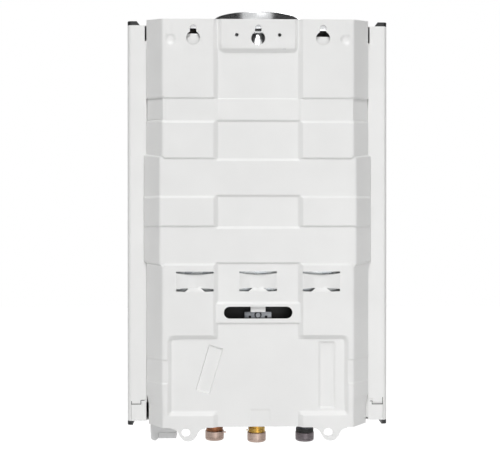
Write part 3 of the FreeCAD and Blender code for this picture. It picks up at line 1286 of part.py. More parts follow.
# ---------------------------------------------------------------- connections and valve
def stub(name, reach, top):
    """A threaded connection at its thread's outer size, bored through and bevelled below."""
    centre = (reach, -mm.stub_deep)
    low = -mm.stub_foot
    thread = rod(f"{name}_thread", "z", centre, (low + mm.stub_bevel, top), mm.stub_round)
    bevel = cone(f"{name}_bevel", centre, (low, low + mm.stub_bevel), mm.stub_round - mm.stub_bevel,
                 mm.stub_round)
    bore = rod(f"{name}_bore", "z", centre, (low - 1, top + 1), mm.stub_bore)
    relief_top = -mm.cover_drop - mm.nut_tall
    relief_z = (relief_top - mm.relief_tall, relief_top)
    relief = cut(f"{name}_relief", rod(f"{name}_relief_outer", "z", centre, relief_z, mm.stub_round + 1),
                 rod(f"{name}_relief_inner", "z", centre, relief_z, mm.stub_round - mm.relief_deep))
    return cut(f"{name}_fitting", fuse(f"{name}_body", thread, bevel), bore, relief)


def connections():
    node("hot_water_fitting", stub("hot", mm.hot_reach, -mm.stub_top))
    node("cold_water_fitting", stub("cold", as_size(0), -mm.valve_foot))
    node("gas_fitting", stub("gas", -mm.gas_reach, -mm.valve_foot))
    filter_top = -mm.valve_foot
    filter_z = (filter_top - mm.filter_tall, filter_top)
    sieve = rod("filter_outer", "z", (0, -mm.stub_deep), filter_z, mm.filter_round)
    inside = rod("filter_inner", "z", (0, -mm.stub_deep), (filter_z[0] + mm.filter_wall, filter_top + 1),
                 mm.filter_round - mm.filter_wall)
    node("inlet_filter", cut("inlet_filter", sieve, inside))


def nuts():
    """Locknuts under the bottom panel, and the nuts at the pipe ends."""
    z = (-mm.cover_drop - mm.nut_tall, -mm.cover_drop)
    solids = []
    for number, reach in enumerate((mm.hot_reach, as_size(0), -mm.gas_reach)):
        centre = (reach, -mm.stub_deep)
        hole = rod(f"locknut_hole_{number}", "z", centre, (z[0] - 1, z[1] + 1), mm.stub_round + mm.running)
        solids.append(cut(f"locknut_{number}", hexagon(f"locknut_form_{number}", centre, z, mm.nut_wide),
                          hole))
    node("locknuts", group("locknuts", *solids))
    ends = [
        (mm.hot_reach, -mm.stub_deep, -mm.stub_top),
        (mm.water_outlet_reach, -mm.valve_deep, -mm.water_valve_top),
        (-mm.gas_outlet_reach, -mm.valve_deep, -mm.gas_valve_top),
    ]
    solids = []
    for number, (x, y, low) in enumerate(ends):
        z = (low, low + mm.pipe_nut_tall)
        hole = rod(f"pipe_nut_hole_{number}", "z", (x, y), (z[0] - 1, z[1] + 1), mm.pipe_round + mm.running)
        solids.append(cut(f"pipe_nut_{number}",
                          hexagon(f"pipe_nut_form_{number}", (x, y), z, mm.pipe_nut_wide), hole))
    node("pipe_nuts", group("pipe_nuts", *solids))


def valve_axis():
    return (-mm.valve_deep, -mm.valve_drop)


def water_valve():
    """The water side: block, diaphragm flange and gland, with its passages."""
    near = -mm.diaphragm_reach
    flange_x = (near, near + mm.flange_tall)
    block_x = (flange_x[1], flange_x[1] + mm.water_valve_wide)
    y = (-mm.valve_front, -mm.valve_back)
    z = (-mm.valve_foot, -mm.water_valve_top)
    block = rounded_block("water_block", block_x, y, z, mm.valve_round, "x")
    flange = rod("water_flange", "x", valve_axis(), flange_x, mm.flange_round)
    gland = rod("water_gland", "y", (0, -mm.knob_drop), (y[0] - mm.gland_long, y[0] + mm.valve_round),
                mm.gland_round)
    socket = rod("water_socket", "z", (0, -mm.stub_deep), (z[0], -mm.valve_drop), mm.stub_round)
    body = fuse("water_body", block, flange, gland, socket)
    tools = [
        rod("water_cavity", "x", valve_axis(), (near - 1, near + mm.cavity_deep), mm.cavity_round),
        rod("water_passage", "x", valve_axis(), (near, mm.water_outlet_reach), mm.gas_port_round),
        rod("water_inlet", "z", (0, -mm.stub_deep), (z[0] - 1, -mm.valve_drop), mm.gas_port_round),
        rod("water_outlet", "z", (mm.water_outlet_reach, -mm.valve_deep), (-mm.valve_drop, z[1] + 1),
            mm.gas_port_round),
        rod("water_gland_bore", "y", (0, -mm.knob_drop),
            (y[0] - mm.gland_long - 1, y[0] - mm.gland_long + mm.gland_deep),
            mm.spindle_round + mm.running),
        rod("cock_bore", "z", (mm.cock_reach, -mm.cock_deep), (z[0] - 1, mm.seat - mm.cock_top),
            mm.cock_stem + mm.running),
    ]
    node("water_valve_body", cut("water_valve_body", body, *tools))
    far = near - mm.diaphragm_gauge
    node("diaphragm", rod("diaphragm", "x", valve_axis(), (far, near), mm.flange_round - mm.gauge))
    lid = rod("lid_flange", "x", valve_axis(), (far - mm.flange_tall, far), mm.flange_round)
    hub = rod("lid_hub", "x", valve_axis(), (far - mm.flange_tall - mm.hub_long, far - mm.flange_tall),
              mm.hub_round)
    cavity = rod("lid_cavity", "x", valve_axis(), (far - mm.cavity_deep, far + 1), mm.cavity_round)
    bore = rod("lid_bore", "x", valve_axis(), (far - mm.flange_tall - mm.hub_long - 1, far),
               mm.rod_round + mm.running)
    node("valve_cover", cut("valve_cover", fuse("lid_body", lid, hub), cavity, bore))


def seat_face():
    """The gas valve seat's face towards the spring."""
    return -mm.gas_valve_near - mm.gas_wall - mm.outlet_chamber - mm.valve_seat


def spring_stop():
    """The far end of the gas valve's inlet chamber, which the spring bears on."""
    return seat_face() - mm.spring_chamber


def solenoid_axis():
    return (-mm.coil_reach, -mm.valve_deep)


def port_face():
    """The face round the riser's mouth that the plunger closes."""
    return -mm.valve_drop - mm.gas_port_round - mm.gauge


def gas_valve():
    """The gas side: inlet and outlet chambers with the seat between, posts to the water side."""
    x = (-mm.gas_valve_far, -mm.gas_valve_near)
    y = (-mm.valve_front, -mm.valve_back)
    z = (-mm.valve_foot, -mm.gas_valve_top)
    block = rounded_block("gas_block", x, y, z, mm.valve_round, "x")
    gland = rod("gas_gland", "y", (-mm.knob_pitch, -mm.knob_drop),
                (y[0] - mm.gland_long, y[0] + mm.valve_round),
                mm.gland_round)
    lid_face = -mm.diaphragm_reach - mm.diaphragm_gauge - mm.flange_tall
    posts = [rod(f"post_{number}", "x", (-mm.valve_deep + offset, -mm.valve_drop), (x[1], lid_face),
                 mm.post_round)
             for number, offset in enumerate((-mm.post_offset, mm.post_offset))]
    body = fuse("gas_body", block, gland, *posts)
    inner = -mm.gas_valve_near - mm.gas_wall
    tools = [
        rod("gas_rod_bore", "x", valve_axis(), (inner - 1, x[1] + 1), mm.rod_round + mm.running),
        rod("gas_outlet_chamber", "x", valve_axis(), (inner - mm.outlet_chamber, inner),
            mm.gas_chamber_round),
        rod("gas_orifice", "x", valve_axis(), (seat_face() - 1, inner), mm.orifice_round),
        rod("gas_inlet_chamber", "x", valve_axis(), (spring_stop(), seat_face()), mm.gas_chamber_round),
        rod("gas_link", "x", valve_axis(), (-mm.coil_reach - mm.gas_port_round, spring_stop() + 1),
            mm.gas_port_round),
        rod("gas_riser", "z", solenoid_axis(), (-mm.gallery_drop, -mm.valve_drop), mm.riser_round),
        rod("gas_gallery", "x", (-mm.stub_deep, -mm.gallery_drop),
            (-mm.coil_reach - mm.gas_port_round, -mm.gas_reach), mm.gas_port_round),
        rod("gas_inlet", "z", (-mm.gas_reach, -mm.stub_deep), (z[0] - 1, -mm.gallery_drop), mm.stub_bore),
        rod("gas_outlet", "z", (-mm.gas_outlet_reach, -mm.valve_deep), (-mm.valve_drop, z[1] + 1),
            (mm.outlet_chamber - mm.gauge) / 2),
        rod("gas_gland_bore", "y", (-mm.knob_pitch, -mm.knob_drop),
            (y[0] - mm.gland_long - 1, y[0] - mm.gland_long + mm.gland_deep), mm.spindle_round + mm.running),
        rod("plunger_bore", "z", solenoid_axis(), (port_face(), z[1] + 1), mm.plunger_round + mm.running),
    ]
    node("gas_valve_body", cut("gas_valve_body", body, *tools))


def moving_valve():
    """The push rod with its plate and collar, the gas disc on it, and the closing spring."""
    diaphragm_face = -mm.diaphragm_reach - mm.diaphragm_gauge
    plate_x = (diaphragm_face - mm.seat - mm.plate_gauge, diaphragm_face - mm.seat)
    disc_x = (seat_face() - mm.seat - mm.disc_gauge, seat_face() - mm.seat)
    shaft = rod("push_shaft", "x", valve_axis(), (disc_x[0] - mm.disc_gauge, plate_x[1]), mm.rod_round)
    plate = rod("push_plate", "x", valve_axis(), plate_x, mm.plate_round)
    collar = rod("push_collar", "x", valve_axis(),
                 (-mm.rod_collar_reach - mm.rod_collar_long, -mm.rod_collar_reach),
                 mm.rod_collar_round)
    node("push_rod", fuse("push_rod", shaft, plate, collar))
    disc = rod("disc_form", "x", valve_axis(), disc_x, mm.disc_round)
    hole = rod("disc_hole", "x", valve_axis(), (disc_x[0] - 1, disc_x[1] + 1), mm.rod_round + mm.running)
    node("gas_valve_disc", cut("gas_valve_disc", disc, hole))
    wire = mm.spring_wire.value
    low = (spring_stop() + mm.seat + mm.spring_wire).value
    high = (disc_x[0] - mm.seat - mm.spring_wire).value
    turns = mm.spring_turns.value
    spine = Part.makeHelix((high - low) / turns, high - low, mm.spring_round.value)
    start = Vector(mm.spring_round.value, 0, 0)
    ring = Part.Wire(Part.Circle(start, Vector(0, 1, 0), wire).toShape())
    spring = Part.Wire(spine).makePipeShell([ring], True, True)
    feature = computed("gas_valve_spring", spring)
    feature.Placement = Placement(Vector(low, *[size.value for size in valve_axis()]), ALONG["x"])
    node("gas_valve_spring", feature)


def lever_x():
    """The lever's mean plane, a seat's gap beyond the collar."""
    return -mm.rod_collar_reach - mm.rod_collar_long - mm.seat - mm.lever_gauge / 2


def switch_and_lever():
    x = (mm.seat - mm.gas_valve_near, mm.seat - mm.gas_valve_near + mm.switch_wide)
    y = about(-mm.valve_deep, mm.switch_wide / 2)
    block = box("switch_block", x, y, (-mm.switch_foot, -mm.switch_top))
    slot_y = about(-mm.valve_deep, mm.switch_slot / 2)
    room = (-mm.switch_foot - 1, -mm.lever_drop + 2 * mm.lever_round)
    slot = box("switch_slot_form", (x[0] - 1, x[1] + 1), slot_y, room)
    pin = rod("lever_pin_form", "y", (lever_x(), -mm.lever_drop), (slot_y[0] - 1, slot_y[1] + 1),
              mm.lever_pin)
    node("microswitch", fuse("microswitch", cut("switch_slotted", block, slot), pin))
    arm_y = (slot_y[0] + mm.seat, slot_y[1] - mm.seat)
    tip = -mm.valve_drop + mm.rod_collar_round - mm.lever_grip
    barrel = rod("lever_barrel", "y", (lever_x(), -mm.lever_drop), arm_y, mm.lever_round)
    arm = box("lever_arm", about(lever_x(), mm.lever_gauge / 2), arm_y, (tip, -mm.lever_drop))
    hole = rod("lever_hole", "y", (lever_x(), -mm.lever_drop), (arm_y[0] - 1, arm_y[1] + 1),
               mm.lever_pin + mm.running)
    node("microswitch_lever", cut("microswitch_lever", fuse("lever_body", barrel, arm), hole))


def solenoid():
    centre = solenoid_axis()
    low = -mm.gas_valve_top
    high = low + mm.coil_tall
    can = rod("coil_can", "z", centre, (low, high), mm.coil_round)
    bore = rod("coil_bore", "z", centre, (low - 1, high - mm.gas_wall), mm.plunger_round + mm.running)
    node("solenoid_coil", cut("solenoid_coil", can, bore))
    node("solenoid_plunger", rod("solenoid_plunger", "z", centre,
                                 (port_face() + mm.running, high - mm.gas_wall - mm.plunger_room),
                                 mm.plunger_round))


def drain_cock():
    centre = (mm.cock_reach, -mm.cock_deep)
    head_top = -mm.cover_drop - 2 * mm.seat
    stem = rod("cock_stem_form", "z", centre, (head_top, -mm.cock_top), mm.cock_stem)
    head = rod("cock_head_form", "z", centre, (-mm.cock_foot + mm.cock_head, head_top), mm.cock_head)
    wing = box("cock_wing_form", about(mm.cock_reach, mm.cock_head), about(-mm.cock_deep, mm.cock_wing / 2),
               (-mm.cock_foot, head_top))
    node("drain_cock", fuse("drain_cock", stem, head, wing))


# ---------------------------------------------------------------- controls
def fascia():
    y = (-mm.cover_deep - mm.fascia_deep, -mm.cover_deep)
    plate = rounded_block("fascia_plate", both(mm.fascia_half), y, (-mm.fascia_foot, -mm.fascia_top),
                          mm.fascia_round, "y")
    lens_x, lens_z = both(mm.lens_half), about(-mm.lens_drop, mm.lens_tall / 2)
    lens_y = (y[0], y[0] + mm.lens_deep)
    tools = [rod(f"fascia_hole_{number}", "y", (x, -mm.knob_drop), (y[0] - 1, y[1] + 1), mm.knob_hole)
             for number, x in enumerate(knob_places())]
    tools.append(box("lens_recess", lens_x, (y[0] - 1, lens_y[1]), lens_z))
    node("control_fascia", cut("control_fascia", plate, *tools))
    gap = mm.running
    node("display_lens", box("display_lens", (lens_x[0] + gap, lens_x[1] - gap), lens_y,
                             (lens_z[0] + gap, lens_z[1] - gap)))
    glass_y = (mm.gauge - mm.cover_deep, mm.gauge + mm.glass_gauge - mm.cover_deep)
    node("window_glass", box("window_glass", both(mm.window_half + mm.glass_margin), glass_y,
                             about(-mm.window_drop, mm.window_tall / 2 + mm.glass_margin)))


def knob(label, reach, stem):
    """A fluted knob with a pointer, as a body whose own Z runs out of the heater's front.

    With a stem the shaft is moulded on; without one it has a bore for a spindle.
    """
    body = doc.addObject("PartDesign::Body", label)
    body.Placement = Placement(Vector(), Rotation(Vector(1, 0, 0), 90))
    put(body, reach, -mm.cover_deep - mm.fascia_deep - mm.seat, -mm.knob_drop)
    drum = body.newObject("PartDesign::AdditiveCylinder", f"{label}_drum")
    bind(drum, Radius=mm.knob_round, Height=mm.knob_long)
    doc.recompute()
    rim = [f"Edge{number}" for number, edge in enumerate(drum.Shape.Edges, 1)
           if edge.BoundBox.ZMin > mm.knob_long.value / 2]
    rounding = body.newObject("PartDesign::Fillet", f"{label}_rim")
    rounding.Base = (drum, rim)
    bind(rounding, Radius=mm.knob_edge)
    flute = body.newObject("PartDesign::SubtractiveCylinder", f"{label}_flute")
    bind(flute, Radius=mm.flute_round, Height=mm.knob_long)
    put(flute, mm.knob_round + mm.flute_round / 2, 0, mm.knob_edge * 2)
    doc.recompute()
    ring = body.newObject("PartDesign::PolarPattern", f"{label}_flutes")
    ring.Originals = [flute]
    z_axis = [axis for axis in body.Origin.OriginFeatures if axis.Role == "Z_Axis"][0]
    ring.Axis = (z_axis, [""])
    ring.Angle = 360
    ring.setExpression("Occurrences", mm.flute_count.text)
    body.Tip = ring
    doc.recompute()
    pointer = body.newObject("PartDesign::AdditiveBox", f"{label}_pointer")
    bind(pointer, Length=mm.pointer_wide, Width=mm.knob_round / 2, Height=mm.pointer_proud * 2)
    put(pointer, -mm.pointer_wide / 2, mm.knob_round / 3, mm.knob_long - mm.pointer_proud)
    if stem:
        shaft = body.newObject("PartDesign::AdditiveCylinder", f"{label}_shaft")
        long = mm.cover_deep + mm.fascia_deep + mm.seat - mm.box_front - mm.seat
        bind(shaft, Radius=mm.spindle_round, Height=long + 1)
        put(shaft, 0, 0, -long)
    else:
        shaft = body.newObject("PartDesign::SubtractiveCylinder", f"{label}_bore")
        bind(shaft, Radius=mm.spindle_round + mm.running, Height=mm.spindle_grip + 1)
        put(shaft, 0, 0, -1)
    body.Tip = shaft
    node(label, body)


def controls():
    knob("gas_knob", -mm.knob_pitch, False)
    knob("water_knob", as_size(0), False)
    knob("mode_knob", mm.knob_pitch, True)
    outer = -mm.cover_deep - mm.fascia_deep - mm.seat - mm.spindle_grip
    inner = -mm.valve_front - mm.gland_long + mm.gland_deep - mm.seat
    for label, reach in (("gas_spindle", -mm.knob_pitch), ("water_spindle", as_size(0))):
        node(label, rod(label, "y", (reach, -mm.knob_drop), (outer, inner), mm.spindle_round))
    x = about(mm.knob_pitch, mm.dial_half)
    z = about(-mm.knob_drop, mm.dial_half)
    case = box("dial_case", x, (-mm.box_front - mm.dial_deep, -mm.box_front), z)
    bush = rod("dial_bush", "y", (mm.knob_pitch, -mm.knob_drop),
               (-mm.box_front - mm.dial_deep - mm.gland_round, -mm.box_front - mm.dial_deep), mm.gland_round)
    bore = rod("dial_bore", "y", (mm.knob_pitch, -mm.knob_drop),
               (-mm.box_front - mm.dial_deep - mm.gland_round - 1, -mm.box_front + 1),
               mm.spindle_round + mm.running)
    node("mode_switch", cut("mode_switch", fuse("dial_body", case, bush), bore))
    low = mm.gauge + mm.seat - mm.cover_drop
    node("control_box", rounded_block("control_box", (mm.box_near, mm.box_far), (-mm.box_front, -mm.box_back),
                                      (low, -mm.box_top), mm.box_round, "z"))


def control_leads():
    """Ignition and flame sensor leads, from the electrodes down to the control box."""
    start = -mm.stack_deep - mm.stack_half_deep - mm.lip_wide / 2
    middle = (mm.box_near + mm.box_far) / 2
    shapes = []
    for reach, end, drop in ((-mm.electrode_reach, middle, mm.lead_drop),
                             (mm.electrode_reach, middle + mm.box_round * 4,
                              mm.lead_drop - mm.box_round * 2)):
        shapes.append(pipe_shape([
            point(reach, start, -mm.electrode_drop),
            point(reach, -mm.lead_deep, -mm.electrode_drop),
            point(reach, -mm.lead_deep, -drop),
            point(end, -mm.lead_deep, -drop),
            point(end, -mm.box_front + mm.dial_half, -drop),
            point(end, -mm.box_front + mm.dial_half, -mm.box_top),
        ], mm.lead_round.value, 0, mm.lead_bend.value * 0.8))
    node("control_leads", computed("control_leads", Part.makeCompound(shapes)))


# ---------------------------------------------------------------- battery compartment
def cell_places():
    """Centres of the two cells, in plan."""
    reach = mm.cell_round + mm.cell_room
    first = -mm.battery_back - mm.battery_wall - reach
    return [first, first - 2 * reach]


def battery_plan(grow):
    """The battery box in plan, grown by a clearance."""
    half = mm.cell_round + mm.cell_room + mm.battery_wall + grow
    front = cell_places()[1] - mm.cell_round - mm.cell_room - mm.battery_wall - grow
    return about(mm.battery_reach, half), (front, grow - mm.battery_back)


def battery_compartment():
    x, y = battery_plan(as_size(0))
    inside_x, inside_y = battery_plan(-mm.battery_wall)
    floor = -mm.battery_foot + mm.seat
    top = floor + mm.cell_tall + mm.cell_cap_tall + mm.seat
    z = (-mm.battery_foot, top + mm.battery_wall)
    case = cut("battery_case", box("battery_block", x, y, z),
               box("battery_inside", inside_x, inside_y, (z[0] - 1, top)))
    centre = (x[1] - mm.barrel_round, -mm.barrel_drop)
    ears = []
    for number, ear_y in enumerate(((y[0], y[0] + mm.ear_thick), (y[1] - mm.ear_thick, y[1]))):
        round_end = rod(f"ear_round_{number}", "y", centre, ear_y, mm.barrel_round - mm.seat)
        web = box(f"ear_web_{number}", about(centre[0], mm.barrel_round - mm.seat), ear_y,
                  (centre[1], z[0] + 1))
        ears += [round_end, web]
    pin = rod("barrel_pin_form", "y", centre, (y[0], y[1]), mm.barrel_pin)
    flanges = box("battery_rim", (x[0] - mm.battery_wall, x[1] + mm.battery_wall),
                  (y[0] - mm.battery_wall, y[1]),
                  (mm.gauge - mm.cover_drop, mm.gauge + mm.battery_wall - mm.cover_drop))
    rim = cut("battery_rim_ring", flanges, box("battery_rim_inside", inside_x, inside_y,
                                               (-mm.cover_drop, -mm.cover_drop + 3 * mm.battery_wall)))
    clear_ears = box("ear_clear", inside_x, inside_y, (z[0] - 1, z[0] + 1))
    node("battery_box", fuse("battery_box",
                             cut("battery_clear", fuse("battery_shell", case, rim, *ears), clear_ears), pin))
    barrel_y = (y[0] + mm.ear_thick + mm.seat, y[1] - mm.ear_thick - mm.seat)
    plate_z = (-mm.battery_foot - mm.seat - mm.lid_thick, -mm.battery_foot - mm.seat)
    hinge_side = centre[0] - mm.barrel_round
    plate = box("lid_plate", (x[0], hinge_side), y, plate_z)
    web = box("lid_web", (hinge_side - 1, centre[0]), barrel_y,
              (plate_z[0], centre[1] + mm.barrel_round - mm.seat))
    barrel = rod("lid_barrel", "y", centre, barrel_y, mm.barrel_round)
    bore = rod("lid_pin_hole", "y", centre, (y[0] - 1, y[1] + 1), mm.barrel_pin + mm.running)
    notch = rod("lid_notch", "y", (x[0], plate_z[0]), about(sum_half(*y), mm.cell_round / 2),
                mm.lid_thick / 2)
    node("battery_lid", cut("battery_lid", fuse("lid_whole", plate, web, barrel), bore, notch))
    cells = []
    for number, depth in enumerate(cell_places()):
        spot = (mm.battery_reach, depth)
        can = rod(f"cell_can_{number}", "z", spot, (floor, floor + mm.cell_tall), mm.cell_round)
        cap = rod(f"cell_cap_{number}", "z", spot,
                  (floor + mm.cell_tall, floor + mm.cell_tall + mm.cell_cap_tall),
                  mm.cell_cap_round)
        cells.append(fuse(f"cell_{number}", can, cap))
    node("batteries", group("batteries", *cells))


def check_and_write():
    """Refuse to write unless every object is sound."""
    doc.recompute()
    faults = []
    for thing in doc.Objects:
        if any(word in thing.State for word in ("Invalid", "Error")):
            faults.append(f"{thing.Label}: {thing.State}")
    for piece in nodes:
        if piece.Shape.isNull() or not piece.Shape.isValid() or not piece.Shape.Solids:
            faults.append(f"{piece.Label}: shape")
    if faults:
        raise RuntimeError("; ".join(faults))
    os.makedirs("parts", exist_ok=True)
    for piece in nodes:
        piece.Shape.exportStep(f"parts/{piece.Label}.step")
        print(f"{piece.Label}: {len(piece.Shape.Solids)} solids, {piece.Shape.Volume / 1000:.2f} cm3")


mm.as_zero = as_size(0)
rear_casing()
front_cover()
top_panel()
bottom_panel()
end_trims()
panel_screws()
flue_collar()
draft_hood()
combustion_chamber()
heat_exchanger()
jacket_coil()
water_pipes()
burner_frame()
burner_blades()
gas_manifold()
gas_pipe()
electrodes()
thermostat()
brackets()
connections()
nuts()
water_valve()
gas_valve()
moving_valve()
switch_and_lever()
solenoid()
drain_cock()
fascia()
controls()
control_leads()
battery_compartment()
check_and_write()
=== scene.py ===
# %% [markdown]
# # Dressing a wall-hung gas water heater
# The heater's solid parts come in as a fixed frame of named bodies. We keep every part where it
# is, give each one a believable finish, and remodel the few parts whose looks depend on rounded
# folds and threads.

# %% Load the frame
import json
import math
import bpy
import mathutils
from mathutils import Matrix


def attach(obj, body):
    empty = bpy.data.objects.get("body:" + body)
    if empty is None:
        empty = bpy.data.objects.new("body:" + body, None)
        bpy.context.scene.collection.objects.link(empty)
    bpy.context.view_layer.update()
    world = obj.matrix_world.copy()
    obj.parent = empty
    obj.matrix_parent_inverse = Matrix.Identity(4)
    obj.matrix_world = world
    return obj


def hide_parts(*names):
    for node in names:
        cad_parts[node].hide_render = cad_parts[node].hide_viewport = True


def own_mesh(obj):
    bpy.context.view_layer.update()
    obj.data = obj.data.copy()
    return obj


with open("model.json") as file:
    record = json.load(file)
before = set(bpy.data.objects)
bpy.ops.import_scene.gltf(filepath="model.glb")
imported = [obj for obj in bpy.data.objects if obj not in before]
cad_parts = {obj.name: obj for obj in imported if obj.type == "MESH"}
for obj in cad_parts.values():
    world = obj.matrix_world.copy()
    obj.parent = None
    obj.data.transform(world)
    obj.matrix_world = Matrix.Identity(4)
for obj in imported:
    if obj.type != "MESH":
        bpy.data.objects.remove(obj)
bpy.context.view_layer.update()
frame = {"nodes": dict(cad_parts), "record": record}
MM = 0.001

# %% [markdown]
# ## Small tools
# Blender's operators act on whatever is selected. These helpers clear the selection, start a
# piece from a primitive, and select faces or edges by where they are, so that each later cell
# reads like the steps you would do by hand.

# %% Selection tools
def clear():
    """Leaves edit mode and selects nothing."""
    if bpy.context.object and bpy.context.object.mode != "OBJECT":
        bpy.ops.object.mode_set(mode="OBJECT")
    bpy.ops.object.select_all(action="DESELECT")


def only(piece):
    """Makes one piece active and selects nothing else."""
    clear()
    piece.select_set(True)
    bpy.context.view_layer.objects.active = piece


def edit(piece):
    """Opens one piece, on its own, in edit mode."""
    only(piece)
    bpy.ops.object.mode_set(mode="EDIT")


def pick(piece, kind, find):
    """Opens a piece, selects only what is found in its mesh and says how much that is."""
    edit(piece)
    bpy.ops.mesh.select_mode(type=kind)
    bpy.ops.mesh.select_all(action="DESELECT")
    bpy.ops.object.mode_set(mode="OBJECT")
    found = find(piece.data)
    for thing in found:
        thing.select = True
    bpy.ops.object.mode_set(mode="EDIT")
    return len(found)


def pick_faces(piece, wanted):
    """Selects the faces whose middle, in millimetres, passes a test."""
    return pick(piece, "FACE", lambda mesh: [face for face in mesh.polygons if wanted(face.center / MM)])


def pick_edges(piece, wanted):
    """Selects the edges whose middle and run, in millimetres, pass a test."""
    def passes(mesh, edge):
        start, end = [mesh.vertices[i].co for i in edge.vertices]
        return wanted((start + end) / 2 / MM, (end - start) / MM)
    return pick(piece, "EDGE", lambda mesh: [edge for edge in mesh.edges if passes(mesh, edge)])


def pick_open_edges(piece):
    """Selects the edges that border a hole in a piece."""
    pick(piece, "EDGE", lambda mesh: [])
    bpy.ops.mesh.select_non_manifold()


def pick_all(piece):
    """Selects every point of a piece."""
    edit(piece)
    bpy.ops.mesh.select_mode(type="VERT")
    bpy.ops.mesh.select_all(action="SELECT")


def cut(x, y, z, normal):
    """Cuts what is selected along a plane through a point given in millimetres."""
    bpy.ops.mesh.bisect(plane_co=(x * MM, y * MM, z * MM), plane_no=normal)


def extrude(x, y, z):
    """Extrudes what is selected by so many millimetres."""
    bpy.ops.mesh.extrude_region_move(TRANSFORM_OT_translate={"value": (x * MM, y * MM, z * MM)})


def stretch(factors, centre):
    """Scales what is selected about a centre given in millimetres."""
    bpy.ops.transform.resize(value=factors, center_override=[c * MM for c in centre])


def named(name, piece=None):
    """Names the piece and its mesh, leaves edit mode and hands the piece back."""
    clear()
    piece = piece or bpy.context.object
    piece.name = name
    piece.data.name = name
    return piece


def modify(piece, kind, **settings):
    """Adds a modifier and applies it at once."""
    only(piece)
    modifier = piece.modifiers.new(kind.title(), kind)
    for key, value in settings.items():
        setattr(modifier, key, value)
    bpy.ops.object.modifier_apply(modifier=modifier.name)


def settle(piece):
    """Moves the piece's place into its mesh, so that the object stands at the origin, unturned."""
    only(piece)
    bpy.ops.object.transform_apply(location=True, rotation=True, scale=True)


def carve(piece, cutters, way="DIFFERENCE"):
    """Cuts every cutter out of the piece, or adds them to it, and removes the cutters."""
    for cutter in cutters:
        modify(piece, "BOOLEAN", operation=way, object=cutter, solver="EXACT")
        bpy.data.objects.remove(cutter)


def join(name, pieces):
    """Joins pieces into one object."""
    clear()
    for piece in pieces:
        piece.select_set(True)
    bpy.context.view_layer.objects.active = pieces[0]
    bpy.ops.object.join()
    return named(name, pieces[0])


def outward(piece):
    """Merges doubled points and turns every face outwards."""
    pick_all(piece)
    bpy.ops.mesh.remove_doubles(threshold=0.00001)
    bpy.ops.mesh.normals_make_consistent(inside=False)
    clear()


def smooth(piece, degrees=35):
    """Shades smooth, but keeps folds sharper than the angle."""
    only(piece)
    bpy.ops.object.shade_smooth_by_angle(angle=math.radians(degrees))


print("tools ready")

# %% [markdown]
# ## Starting shapes
# A primitive is only where a piece starts. These three calls place one in millimetres: a block
# between two corners, a cylinder or cone along an axis, and a flat sheet to be cut and pressed.

# %% Starting shapes
TURNED = {"x": (0, math.pi / 2, 0), "y": (math.pi / 2, 0, 0), "z": (0, 0, 0)}


def block(name, low, high):
    """A block between two corners, in millimetres."""
    clear()
    middle = [(a + b) / 2 * MM for a, b in zip(low, high)]
    bpy.ops.mesh.primitive_cube_add(size=1, location=middle)
    piece = bpy.context.object
    piece.scale = [(b - a) * MM for a, b in zip(low, high)]
    settle(piece)
    return named(name)


def drum(name, axis, centre, length, radius, sides=48, tip=None):
    """A cylinder, or a cone when tip is given, centred on a point, in millimetres."""
    clear()
    bpy.ops.mesh.primitive_cone_add(vertices=sides, radius1=radius * MM,
                                    radius2=(radius if tip is None else tip) * MM, depth=length * MM,
                                    location=[c * MM for c in centre], rotation=TURNED[axis])
    settle(bpy.context.object)
    return named(name)


def sheet_of(name, low, high):
    """A flat rectangle that faces the wall (+Y), between two corners given as (x, z), at level 0."""
    clear()
    middle = ((low[0] + high[0]) / 2 * MM, 0, (low[1] + high[1]) / 2 * MM)
    bpy.ops.mesh.primitive_plane_add(size=1, location=middle, rotation=(-math.pi / 2, 0, 0))
    piece = bpy.context.object
    piece.scale = ((high[0] - low[0]) * MM, (high[1] - low[1]) * MM, 1)
    settle(piece)
    return named(name)


print("shapes ready")

# %% [markdown]
# ## The back plate, step 1: a grid of fold lines
# The real plate is one steel sheet, pressed in a die, so every ridge runs along a straight fold.
# It could be carved from a block, but a sheet is truer: start with one flat rectangle and cut it
# with bisect along every fold line, and just before and after it, so that a fold can be round.

# %% Sizes of the plate
PLATE = {"top": 20.7, "foot": -425.3, "half": 104.3}
SHEET = 0.8  # the steel's thickness
COLUMN, PANEL, FIELD = 43.8, 40.5, 95.0  # half widths of the middle column, panel and field
EASE = 0.75  # the slope of the column's upright walls
BAND, DEEP = 2.0, 4.0  # how far the two levels are pressed in
BAND_ROWS = [(-90.4, -65.8), (-172.4, -131.5), (-246.3, -205.8)]
DEEP_ROWS = [(-65.8, 60.0), (-131.5, -90.4), (-205.8, -172.4), (-288.3, -246.3), (-460.0, -312.3)]
WIDE_ROW = (-246.3, -131.5)  # where the outline stands out
FIELD_ROW = (-408.4, -328.7)
PANEL_FOOT = -11.2
FOOT = -395.0  # the side bands narrow below this height
DIP_ROW, DIP_EDGE = (-376.7, -351.8), 99.0  # a shallow dip at both edges
CORNER = 5.5  # reach of the lines that round the corners
UPRIGHT = {"x": -75.5, "z": -368.4, "wide": 17.2, "tall": 72.6, "turn": 0.0}
SLANTED = {"x": 53.4, "z": -362.2, "wide": 16.3, "tall": 52.0, "turn": -16.5}
PAD = {"x": -2.0, "z": -416.5, "wide": 22.8, "tall": 21.0, "turn": 0.0}
DIMPLES, DIMPLE_ROUND = [(96.0, -1.0), (-96.0, -1.0)], 5.8
KEYHOLES = (71.0, 0.0, -71.0)
RIVETS = (23.4, -23.4)
LOUVRES, LOUVRE_HALF = (69.0, 0.0, -69.0), 20.5
SLITS = [-254.9, -256.8, -274.1, -276.5]  # edges of the upper and of the lower slit
STRIP_LINES = {-260.0, -265.5, -270.5}  # lines along the strip between the slits
LUGS, LUG_HOLES = (76.4, -79.0), (79.0, -76.6)
